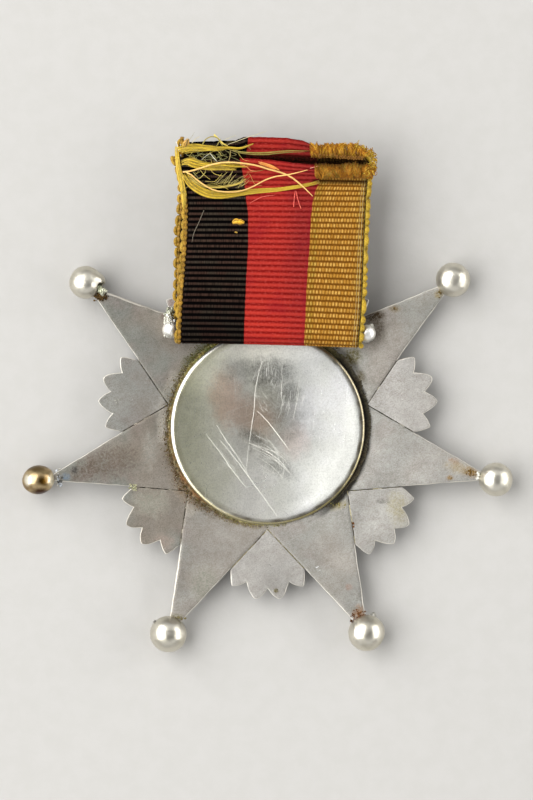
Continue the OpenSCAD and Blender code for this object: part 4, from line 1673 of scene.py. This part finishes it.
@dataclass
class Ribbon:
    """Ribbed silk ribbon, doubled round the bar, with picots, frayed ends and loose yellow silk."""

    width: float = 32.0
    first_end: float = 28.5
    second_end: float = 31.9
    rod: tuple[float, float] = (16.31, 6.95)
    loop_r: float = 1.77
    drop: float = 0.32
    thick: float = 0.30
    rib: float = 0.892
    front: tuple[tuple[float, float, float], ...] = (
        (150, 174.5, 370.5), (157, 175.5, 370), (168, 179.5, 369), (180, 183.5, 367.6), (195, 186.2, 366.4),
        (210, 187.2, 365.6), (230, 186.8, 364.6), (250, 185.6, 363.8), (270, 184, 363), (290, 182.5, 362.3),
        (310, 181.4, 361.2), (330, 180.5, 359.5), (348, 180.1, 358.3))
    back: tuple[tuple[float, float, float], ...] = (
        (138, 183.5, 354), (144, 183.6, 361), (150, 183.6, 366.5), (157, 183.7, 371), (165, 183.8, 371),
        (190, 183.8, 368.5), (208, 183, 367.2), (230, 180.2, 366), (270, 179.8, 364), (310, 179.8, 361.2),
        (348, 180.1, 358.3))
    stripes: tuple[tuple[float, float, float], ...] = (
        (138, 0.381, 0.772), (144, 0.363, 0.746), (150, 0.347, 0.728), (157, 0.332, 0.713), (160, 0.33, 0.715),
        (181, 0.328, 0.74), (190, 0.329, 0.72), (200, 0.331, 0.7045), (218, 0.343, 0.695), (250, 0.350, 0.694),
        (288, 0.3515, 0.688), (348, 0.358, 0.695))
    sag: tuple[tuple[float, float], ...] = (
        (138, 8), (150, 7.5), (160, 6.5), (175, 3), (195, 1), (225, 1.5), (245, 2.3), (265, 3.5), (285, 4.8),
        (305, 5.6), (325, 5.0), (348, 4.2))

    @property
    def length(self) -> float:
        """Length of the strip along its middle line."""
        return self.first_end + math.pi * self.loop_r + self.second_end

    def row(self, y: Array) -> Array:
        """Row of the picture where a distance from the rod shows."""
        return PICTURE.middle[1] - (self.rod[0] + y) * PICTURE.per_mm

    def line(self, run: Array) -> tuple[Array, Array, Array]:
        """Middle line of the strip in the plane across the bar.

        The upper ply falls level from its end to the rod, the strip turns half round the rod, and the lower ply rises
        over the covered ball and curls up to its end.

        Args:
            run: distances from the upper ply's end.

        Returns:
            Distance from the rod away from the loop, height, and 1 on the lower ply or 0 on the upper.
        """
        run = np.asarray(run, float)
        bend = math.pi * self.loop_r
        above = self.first_end - run
        below = run - self.first_end - bend
        turn = np.clip((run - self.first_end) / self.loop_r, 0, math.pi)
        z_up = 8.72 - 0.60 * ease(above, 0, 22.9) + 0.85 * np.clip((above - 22.5) / 6, 0, 2) ** 2
        z_low = 5.18 + 1.38 * ease(below, 0, 22.9) + 1.75 * np.clip((below - 26.6) / 5.2, 0, 2) ** 1.7
        y = np.where(run < self.first_end, above, np.where(below > 0, below, -self.loop_r * np.sin(turn)))
        z = np.where(run < self.first_end, z_up, np.where(below > 0, z_low, self.rod[1] + self.loop_r * np.cos(turn)))
        settle = self.drop * ease(y, 7.0, 0.5)
        return y - settle, z, (below > -bend / 2).astype(float)

    def surface(self, across: Array, run: Array, off: Array | float = 0.0) -> Array:
        """Places on the ribbon.

        Args:
            across: 0 at the left edge, 1 at the right.
            run: distances from the upper ply's end.
            off: distance off the middle line, outwards from the loop.

        Returns:
            Places in millimetres.
        """
        across, run, off = np.broadcast_arrays(across, run, off)
        y, z, lower = self.line(run)
        y1, z1, _ = self.line(run + 0.05)
        y0, z0, _ = self.line(run - 0.05)
        size = np.hypot(y1 - y0, z1 - z0)
        ny, nz = (z1 - z0) / size, -(y1 - y0) / size
        y, z = y + ny * off, z + nz * off
        shown = self.row(y) - (self.rod[0] + y - 4.6) * 0.03
        plies, sides = (np.array(self.front), np.array(self.back)), []
        for column in (1, 2):
            upper_edge, lower_edge = (np.interp(shown, ply[:, 0], ply[:, column]) for ply in plies)
            sides.append(np.where(lower > 0.5, lower_edge, upper_edge))
        px = sides[0] + (sides[1] - sides[0]) * across
        table = np.array(self.sag)
        sag = np.interp(shown, table[:, 0], table[:, 1]) * np.abs(across) ** (1.7 + 1.8 * ease(shown, 160, 140))
        place = PICTURE.at(px, self.row(y), z)
        place[..., 1] = self.rod[0] + y - sag / PICTURE.per_mm
        flat = np.stack([place[..., 0], np.where(lower > 0.5, -40, place[..., 1])], -1)
        calm = ease(np.abs(run - self.first_end - 2.8), 3, 9)
        place[..., 2] += 0.10 * ripple(flat, 14, 31) * calm
        return place

    def cloth(self, finish: bpy.types.Material) -> bpy.types.Object:
        """The woven strip as a closed grid: each rib is a round ridge on both faces, with a narrow groove between.

        Args:
            finish: its material.

        Returns:
            The piece.
        """
        ribs = round(self.length / self.rib)
        phase = np.array([0.0, 0.07, 0.22, 0.5, 0.78, 0.93])
        count = np.append((np.arange(ribs)[:, None] + phase).ravel(), ribs)
        run = count * self.length / ribs
        soft = np.abs(np.sin(math.pi * count)) ** 0.75
        across = np.linspace(0, 1, 64)
        half = self.thick * (0.45 + 0.55 * soft)
        edge = np.clip(np.minimum(across, 1 - across) * self.width / 0.3, 0, 1) ** 0.5 * 0.75 + 0.25
        cut_line = np.stack([across * self.width, 0 * across], -1)
        frayed = 0.015 * ripple(cut_line, 3.3, 17) + 0.02 * ripple(cut_line, 1.1, 19)
        u, d = np.meshgrid(across, run)
        cut = np.interp(across, [0, 0.34, 0.5, 0.6, 0.7, 1], [0, 0, 0.15, 0.45, 0.7, 0.1])
        first = ease(d, 3.0, 0) * (frayed + cut)[None]
        worn = np.interp(across, [0, 0.3, 0.36, 0.6, 0.70, 0.74, 0.9, 1], [0.9, 0.6, 0.0, 0.0, 0.25, 1.0, 1.1, 1.8])
        final = ease(d, self.length - 3.0, self.length) * (frayed - worn)[None]
        d = d + first + final
        fine = 0.012 * ripple(np.stack([u * self.width, d], -1), 0.9, 18)
        top = self.surface(u, d, half[:, None] * edge[None] + fine)
        low = self.surface(u, d, -half[:, None] * edge[None] + fine)
        y, _, lower = self.line(d)
        past_low, past_up = y - self.second_end, y - self.first_end
        # The lower ply in the deep groove between the two ends, painted dark: painted shade.
        gap = lower * ease(past_low, -4.6, -3.6) * ease(past_low, -2.0, -3.0)
        # A dark band on the upper ply's gold side, just short of its end.
        hem = (1 - lower) * ease(past_up, -4.3, -3.9) * ease(past_up, -3.0, -3.5)
        soil = np.maximum(gap, hem * ease(u, 0.69, 0.71) * 0.8)
        # Darker along both edges of the cloth.
        soil = np.maximum(soil, 0.9 * ease(np.minimum(u, 1 - u), 0.014, 0.006))
        rows, first_at, second_at = np.array(self.stripes).T
        first_at, second_at = (np.interp(self.row(y), rows, at) for at in (first_at, second_at))
        first, second = RibbedSilk.first, RibbedSilk.second
        stripe = np.where(u < first_at, u / first_at * first, np.where(
            u < second_at, first + (u - first_at) / (second_at - first_at) * (second - first),
            second + (u - second_at) / (1 - second_at) * (1 - second)))
        rib_count = np.broadcast_to(count[:, None], u.shape)
        shell = Shell("order_ribbon")
        pair = np.concatenate([top, low[:, ::-1]], 1)
        shell.add(pair, lids=False, zipped=True, across=np.concatenate([stripe, stripe[:, ::-1]], 1),
                  ribs=np.concatenate([rib_count, rib_count], 1), soil=np.concatenate([soil, soil[:, ::-1]], 1))
        return shell.build(finish, "ribbon", slot="ribbon_cloth")

    def picots(self, finish: bpy.types.Material) -> bpy.types.Object:
        """Yellow selvedges.

        On the left a beaded cord against the cloth, and outside it a thread that loops at every second rib: its
        distance from the cloth is a raised cosine, and where the ribbon is loose the loops stand clear of the cord.
        On the right one scalloped cord, whose width and distance follow the size of a slow sine. It is slimmer on
        the lower ply.

        Args:
            finish: their material.

        Returns:
            The piece.
        """
        shell = Shell("ribbon_picots")
        rng = np.random.default_rng(12)
        run = np.linspace(0.1, self.length - 0.1, 640)
        for edge in Edge:
            out = -1.0 if edge is Edge.LEFT else 1.0
            across = float(edge.value)
            line = self.surface(across, run)
            if edge is Edge.RIGHT:
                phase = run / (1.85 * self.rib) + 0.3 * ripple(run[:, None], 9.0, 15)
                puff = np.abs(np.sin(math.pi * phase)) ** 0.7
                slim = 1 - 0.4 * self.line(run)[2]
                line[:, 0] += (0.04 + 0.36 * puff) * slim - 0.1 * (1 - slim)
                # Lighter on each scallop and darker between them: painted highlight and shade.
                tint = np.array(tone(180, 150, 44)) * (0.35 + 0.65 * puff + 0.1 * ripple(line, 1.5, 16))[:, None]
                thick = (0.15 + 0.27 * puff) * slim
                shell.add(tube(line[None], thick[None], 10), tint=np.clip(tint, 0, 1)[None, :, None])
                continue
            line[:, 0] += out * 0.22
            knot = np.abs(np.sin(math.pi * (run / self.rib + 0.5)))
            bead = 0.25 + 0.12 * knot + 0.03 * ripple(line, 0.8, 13)
            # Lighter on each bead and darker between beads: painted highlight and shade.
            tint = np.array(tone(160, 122, 42)) * (0.5 + 0.5 * knot + 0.2 * ripple(line, 2.0, 14))[:, None]
            shell.add(tube(line[None], bead[None], 8), tint=np.clip(tint, 0, 1)[None, :, None])
            starts = np.arange(0.6, self.length / self.rib - 1, 2.0) * self.rib
            starts = starts + rng.normal(0, 0.07, len(starts))
            loose = ease(starts, self.first_end + 4, self.first_end + 9)
            tall = 0.74 - 0.06 * loose + rng.normal(0, 0.05, len(starts))
            swing = np.radians(np.linspace(-150, 150, 19))
            reach = 0.27 + 0.12 * loose + rng.normal(0, 0.05, len(starts))
            d = np.clip(starts[:, None] + tall[:, None] * np.sin(swing), 0, self.length)
            path = self.surface(across, d)
            path[..., 0] += out * (0.26 + reach[:, None] * (np.cos(swing) + 0.45))
            path[..., 2] += rng.uniform(-0.05, 0.12, (len(starts), 1)) + 0.08 * np.cos(swing)
            tint = np.array(tone(170, 136, 46)) * rng.uniform(0.75, 1.15, (len(starts), 1, 1, 1))
            tint = tint * (0.7 + 0.35 * np.cos(swing))[:, None, None]
            thick = (0.24 + 0.05 * np.cos(swing))[None] * rng.uniform(0.8, 1.15, (len(starts), 1))
            shell.add(tube(path, thick, 8), tint=np.clip(tint, 0, 1))
        return shell.build(finish, slot="ribbon_cloth")

    def top(self, px: Array, py: Array, lift: Array | float) -> Array:
        """Places above the upper ply, or above the lower ply's curled end beyond it.

        Args:
            px: places from the picture's left.
            py: places from its top.
            lift: distances above the cloth.

        Returns:
            Places in millimetres.
        """
        px, py, lift = np.broadcast_arrays(np.asarray(px, float), np.asarray(py, float), np.asarray(lift, float))
        y = (PICTURE.middle[1] - py) / PICTURE.per_mm - self.rod[0]
        run_up = np.clip(self.first_end - y, 0, self.first_end)
        run_low = np.clip(self.first_end + math.pi * self.loop_r + y, 0, self.length)
        z_up, z_low = self.line(run_up)[1], self.line(run_low)[1]
        z = z_up + (z_low - z_up) * ease(y, self.first_end - 0.3, self.second_end - 1.2) + self.thick + 0.1
        return PICTURE.at(px, py, z + lift)

    def strands(self, shell: Shell, bundle: Bundle) -> None:
        """Lays a bundle of loose silk on the ribbon.

        Each strand keeps its own share of the bundle's width, wanders slowly and ends early by a random amount.

        Args:
            shell: where the strands go.
            bundle: the bundle.
        """
        rng, count = np.random.default_rng(bundle.seed), bundle.count
        places, fine = 22, 200
        base = flowing([(*p, 0) for p in bundle.line], fine)[:, :2]
        start = rng.uniform(0, bundle.fray * 0.4, count)
        stop = 1 - rng.uniform(0, bundle.fray, count) ** 1.2
        t = start[:, None] + (stop - start)[:, None] * np.linspace(0, 1, places)
        x, y = (np.interp(t * (fine - 1), np.arange(fine), base[:, k]) for k in (0, 1))
        way = unit(np.stack([np.gradient(x, axis=1), np.gradient(y, axis=1)], -1))
        half = np.interp(t, np.linspace(0, 1, len(bundle.wide)), bundle.wide)
        wander = np.where(rng.uniform(0, 1, (count, 1)) < 0.12, 0.6, 0.10)
        lane = rng.uniform(-1, 1, (count, 1))
        lane = lane + wander * np.sin(t * rng.uniform(2, 7, (count, 1)) + rng.uniform(0, 6, (count, 1)))
        x, y = x - way[..., 1] * lane * half, y + way[..., 0] * lane * half
        heap = np.clip(half / 4, 0.1, 1) * (1 - np.minimum(np.abs(lane), 1) ** 2)
        rise = bundle.lift + rng.uniform(0, 1, (count, 1)) * 0.32 * heap
        path = self.top(x, y, rise)
        groups = 0.5 + 0.5 * np.sin(lane[:, :1] * 9 + bundle.seed)
        shade = (0.35 + 0.55 * groups + rng.uniform(-0.15, 0.4, (count, 1))) if count > 1 else np.ones((1, 1))
        tint = np.array(bundle.colour) * (shade * (1 + 0.1 * np.sin(t * 8 + bundle.seed)))[..., None, None]
        taper = 1 - 0.5 * ease(np.linspace(0, 1, places), 0.8, 1.0)
        radii = bundle.thick * taper[None] * rng.uniform(0.8, 1.2, (count, 1))
        shell.add(tube(path, radii, bundle.sides), tint=np.clip(tint, 0, 1))

    def silk(self, finish: bpy.types.Material) -> bpy.types.Object:
        """The loose yellow silk at the upper left and the single threads over the red stripe.

        Args:
            finish: its material.

        Returns:
            The piece.
        """
        shell = Shell("loose_silk")
        for bundle in SILK_BUNDLES:
            self.strands(shell, bundle)
        for n, (line, colour, thick, lift) in enumerate(SINGLE_THREADS):
            self.strands(shell, single(line, lift, thick, colour, 100 + n, 6))
        rng = np.random.default_rng(5)
        for n in range(24):
            x, y = 214 + n * 1.2, 185 + rng.normal(0, 1.6)
            far, way = rng.uniform(6, 17), rng.normal(0.75, 0.22)
            end = (x + far * math.cos(way), y - far * math.sin(way))
            line = ((x, y), ((x + end[0]) / 2 + rng.normal(0, 0.7), (y + end[1]) / 2 + rng.normal(0, 0.7)), end)
            tint = tone(*(rng.uniform(0.6, 1) * np.array((200, 184, 104))))
            self.strands(shell, single(line, 0.3, 0.03, tint, 200 + n))
        for n in range(26):
            x, y = rng.uniform(190, 232), rng.uniform(150, 158)
            line = ((x, y), (x + rng.normal(0, 4), y + 3), (x + rng.normal(0, 8), y + rng.uniform(4, 9)))
            self.strands(shell, single(line, 0.05, 0.04, tone(110, 108, 60), 240 + n))
        for n in range(34):
            x, y = rng.uniform(178, 250), rng.uniform(141, 196)
            way, far = rng.uniform(-0.9, 0.9), rng.uniform(6, 20)
            end = (x + far * math.cos(way), y - far * math.sin(way))
            bend = ((x + end[0]) / 2 + rng.normal(0, 2), (y + end[1]) / 2 + rng.normal(0, 3))
            tint = tone(*(rng.uniform(0.5, 1.0) * np.array((226, 204, 96))))
            self.strands(shell, single(((x, y), bend, end), rng.uniform(0.2, 0.7), 0.03, tint, 300 + n))
        for tuft in SILK_TUFTS:
            self.strands(shell, tuft)
        return shell.build(finish, slot="ribbon_cloth")

    def frayed(self, finish: bpy.types.Material) -> bpy.types.Object:
        """Frayed gold ends of both plies, a row of small loops at the upper one, and the fuzzy yellow corner.

        A fibre runs from its foot to its tip with a lean and a curl of its own, and arches off the cloth by a sine.

        Args:
            finish: their material.

        Returns:
            The piece.
        """
        shell = Shell("frayed_ends")
        rng = np.random.default_rng(21)
        gold, brown, yellow, olive = tone(150, 100, 28), tone(118, 72, 18), tone(178, 136, 38), tone(130, 102, 34)
        lemon = tone(196, 164, 60)
        for y_low, y_high, x_low, x_high, count, arch, steep, sweep, tints, shades in (
                (156.5, 144.5, 311, 366, 820, 0.45, 0.85, 1.0, (gold, brown, gold, yellow), (0.42, 1.4, 1.1)),
                (177.5, 165.5, 316, 372, 900, 0.35, 0.1, 2.4, (olive, brown, gold, gold), (1.0, 1.3, 0.3))):
            x = rng.uniform(x_low, x_high, count)
            t = np.linspace(0, 1, 8)
            tuft = ripple(np.stack([x, 0 * x + y_low], -1), 7.0, 23)
            slope = np.clip(x - 357, 0, 14) * steep
            tip = y_high + rng.normal(0, 0.9, count) + 1.1 * tuft + slope + 2.5 * ease(x, 318, 311)
            foot = y_low + rng.normal(0, 0.9, count) - rng.uniform(0, 5, count) * (rng.uniform(0, 1, count) < 0.5)
            lean = rng.normal(0, 2.2, count) + 3.2 * sweep * ripple(np.stack([x, 0 * x - y_low], -1), 12.0, 24)
            curl = rng.normal(0, 1.0, (count, 1)) + 1.6 * ripple(np.stack([x, 0 * x + y_high], -1), 5.0, 26)[:, None]
            px = x[:, None] + lean[:, None] * t + curl * np.sin(t * 4.4)
            py = foot[:, None] + (tip - foot)[:, None] * t + 0.5 * curl * np.sin(t * 3)
            lift = 0.05 + arch * rng.uniform(0.3, 1.2, (count, 1)) * np.sin(math.pi * np.clip(t * 0.9 + 0.1, 0, 1))
            path = self.top(np.clip(px, x_low - 1, 376), py, lift)
            tint = np.array(tints)[rng.integers(0, len(tints), count)] * rng.uniform(0.7, 1.15, (count, 1))
            fade = (1 - 0.3 * np.clip(tuft, -1, 1))[:, None, None] * np.interp(t, [0, 0.5, 1], shades)[None, :, None]
            thick = rng.uniform(0.03, 0.06, (count, 1))
            shell.add(tube(path, thick, 5), tint=np.clip(tint[:, None] * fade, 0, 1)[:, :, None])
        px = np.arange(313, 364, 2.7)
        px = px + rng.normal(0, 0.4, len(px))
        feet = self.top(px, 155.6 + 0.05 * (px - 313) + rng.normal(0, 0.4, len(px)), 0.25)
        swing = np.linspace(0, 2 * math.pi, 13)
        loops = feet[:, None] + np.stack([0.13 * np.cos(swing), 0.28 * np.sin(swing), 0.1 * np.sin(swing)], -1)
        shell.add(tube(loops, 0.05, 6), tint=np.array(tone(150, 104, 50)))
        corner = np.array((
            (357, 145.5), (361, 147.5), (364, 150), (367.5, 152), (370.5, 153), (373, 155.5), (374.5, 159),
            (374, 163), (372.5, 166), (374, 169), (373.5, 172), (370.5, 172), (368, 169.5), (366, 172), (371, 157),
            (368, 154)))
        hub = np.repeat(corner, 26, axis=0)
        hub = hub + rng.normal(0, 1.0, hub.shape)
        way = rng.uniform(0, 2 * math.pi, (len(hub), 1))
        bend = way + np.linspace(-1, 1, 7) * rng.normal(0, 1.6, (len(hub), 1))
        reach = rng.uniform(0.25, 0.75, (len(hub), 1))
        px = hub[:, :1] + np.cumsum(np.cos(bend) * reach, axis=1)
        py = hub[:, 1:] + np.cumsum(np.sin(bend) * reach, axis=1)
        path = self.top(np.clip(px, 350, 377), py, rng.uniform(0.02, 0.5, (len(hub), 1)) + 0.15 * np.sin(bend))
        tints = np.array((gold, yellow, lemon, lemon))
        tint = tints[rng.integers(0, 4, len(hub))] * rng.uniform(0.6, 1.15, (len(hub), 1))
        shell.add(tube(path, rng.uniform(0.035, 0.075, (len(hub), 1)), 5), tint=np.clip(tint, 0, 1)[:, None, None])
        return shell.build(finish, slot="ribbon_cloth")

    def build(self, cloth: bpy.types.Material, thread: bpy.types.Material, floss: bpy.types.Material,
              fibres: bpy.types.Material) -> None:
        """Makes the ribbon and its trims.

        Args:
            cloth: material of the woven strip.
            thread: material of its edges.
            floss: material of the loose silk.
            fibres: material of the frayed ends.
        """
        ribbon = self.cloth(cloth)
        trims = [self.picots(thread), self.silk(floss), self.frayed(fibres)]


STAINS = (
    Stain((86, 471), (26, 15), tone(128, 106, 92), 0.62, 18),
    Stain((66, 477), (6, 6), tone(150, 168, 184), 0.8, 0, 0.5),
    Stain((75, 470), (5, 6), tone(70, 72, 76), 0.6, 0, 1.2),
    Stain((454, 461), (8, 5), tone(196, 150, 116), 0.5, -20, 1.2),
    Stain((470, 472), (11, 7), tone(180, 138, 60), 0.75, -10, 1.2),
    Stain((459, 468), (20, 9), tone(206, 184, 140), 0.5, -15, 1.0),
    Stain((450, 478), (5, 4), tone(176, 134, 56), 0.7, 0, 1.0),
    Stain((359, 613), (9, 11), tone(176, 128, 84), 0.85, 0, 1.3),
    Stain((398, 508), (14, 24), tone(200, 190, 150), 0.55, 10, 0.9),
    Stain((382, 501), (9, 4), tone(120, 116, 108), 0.5, 0, 1.6),
    Stain((152, 503), (26, 20), tone(190, 196, 180), 0.4, 0, 1.4),
    Stain((165, 541), (15, 11), tone(196, 176, 164), 0.55, 0, 0.9),
    Stain((349, 587), (6, 5), tone(190, 146, 124), 0.5, 0, 1.0),
    Stain((276.4, 591), (4, 4), tone(136, 126, 92), 0.8, 0, 0.8),
    Stain((374, 316), (15, 7), tone(98, 76, 48), 0.9, 12, 0.8, 0.2),
    Stain((394.8, 309), (8, 5), tone(170, 146, 104), 0.7, 0, 1.0),
    Stain((439, 294), (6, 7), tone(184, 164, 112), 0.75, -40, 0.8),
    Stain((205, 585), (22, 30), tone(160, 164, 146), 0.45, 10, 0.8),
    Stain((165, 317), (6, 5), tone(140, 112, 96), 0.6, 0, 1.0),
    Stain((171, 303), (5, 6), tone(176, 128, 110), 0.5, 0, 0.8),
    Stain((102, 298), (9, 6), tone(128, 100, 66), 0.7, 0, 1.0),
    Stain((176, 617), (13, 5), tone(150, 140, 104), 0.6, 0, 0.9),
    Stain((352, 357), (13, 12), tone(126, 116, 62), 0.8, 25, 1.2),
    Stain((361, 376), (6, 8), tone(140, 124, 72), 0.6, 25, 1.0),
    Stain((338, 505), (14, 6), tone(196, 182, 120), 0.6, 15, 1.2),
    # Lighter strip just outside the cap's left edge: painted highlight.
    Stain((162, 425), (7, 30), tone(216, 208, 194), 0.7, 0, 1.0),
    Stain((191, 510), (9, 9), tone(206, 198, 184), 0.5, 40, 1.0),
    # The same painted highlight farther up the cap's left edge.
    Stain((171, 381), (7, 24), tone(206, 200, 186), 0.5, -25, 1.0),
    Stain((186, 490), (14, 30), tone(150, 126, 92), 0.6, 40, 1.0),
    Stain((150, 450), (12, 28), tone(196, 202, 196), 0.3, -8, 1.2),
    Stain((112, 462), (42, 26), tone(146, 132, 118), 0.75, 12, 1.2),
    # Painted shadow of the ribbon on the upper right arm.
    Stain((377, 327), (13, 20), tone(122, 108, 88), 0.6, 0, 0.4),
)


def main() -> None:
    """Builds the studio and the object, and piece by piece."""
    logging.basicConfig(level=logging.INFO, format="%(message)s")
    Studio().build()
    sheet_silver = SheetSilver(stains=STAINS).make()
    thread, silk = Thread().make(), RibbedSilk().make()
    crust, solder = Crust("dry_crust", 0.0, 0.85, gloss=0.1).make(), Crust("rough_solder", 0.75, 0.42, 0.35).make()
    floss = Thread("silk_floss", uneven=0.25, relief=0.01, rough=0.38, gloss=0.4, sheen=0.1).make()
    fibres = Thread("frayed_fibres", uneven=0.4, relief=0.02, rough=0.6, gloss=0.06).make()
    Ribbon().build(silk, thread, floss, fibres)
    star = StarSheet()
    star.build(sheet_silver)
    Balls().build(BallSilver().make(), GildedBall().make())
    BackCap().build(CapSilver().make(), Crust("bright_scratch", 0.4, 0.45, 0.1).make())
    BarEnds().build(BallSilver("bar_silver", bright=tone(252, 250, 244), rough=0.44, tarnish=0.1).make())
    Residue().build(star, crust, solder)
    for worn in frame["nodes"]["front_boss"].material_slots:
        worn.material = sheet_silver
    log.info("front_boss: dressed")


if __name__ == "__main__":
    main()
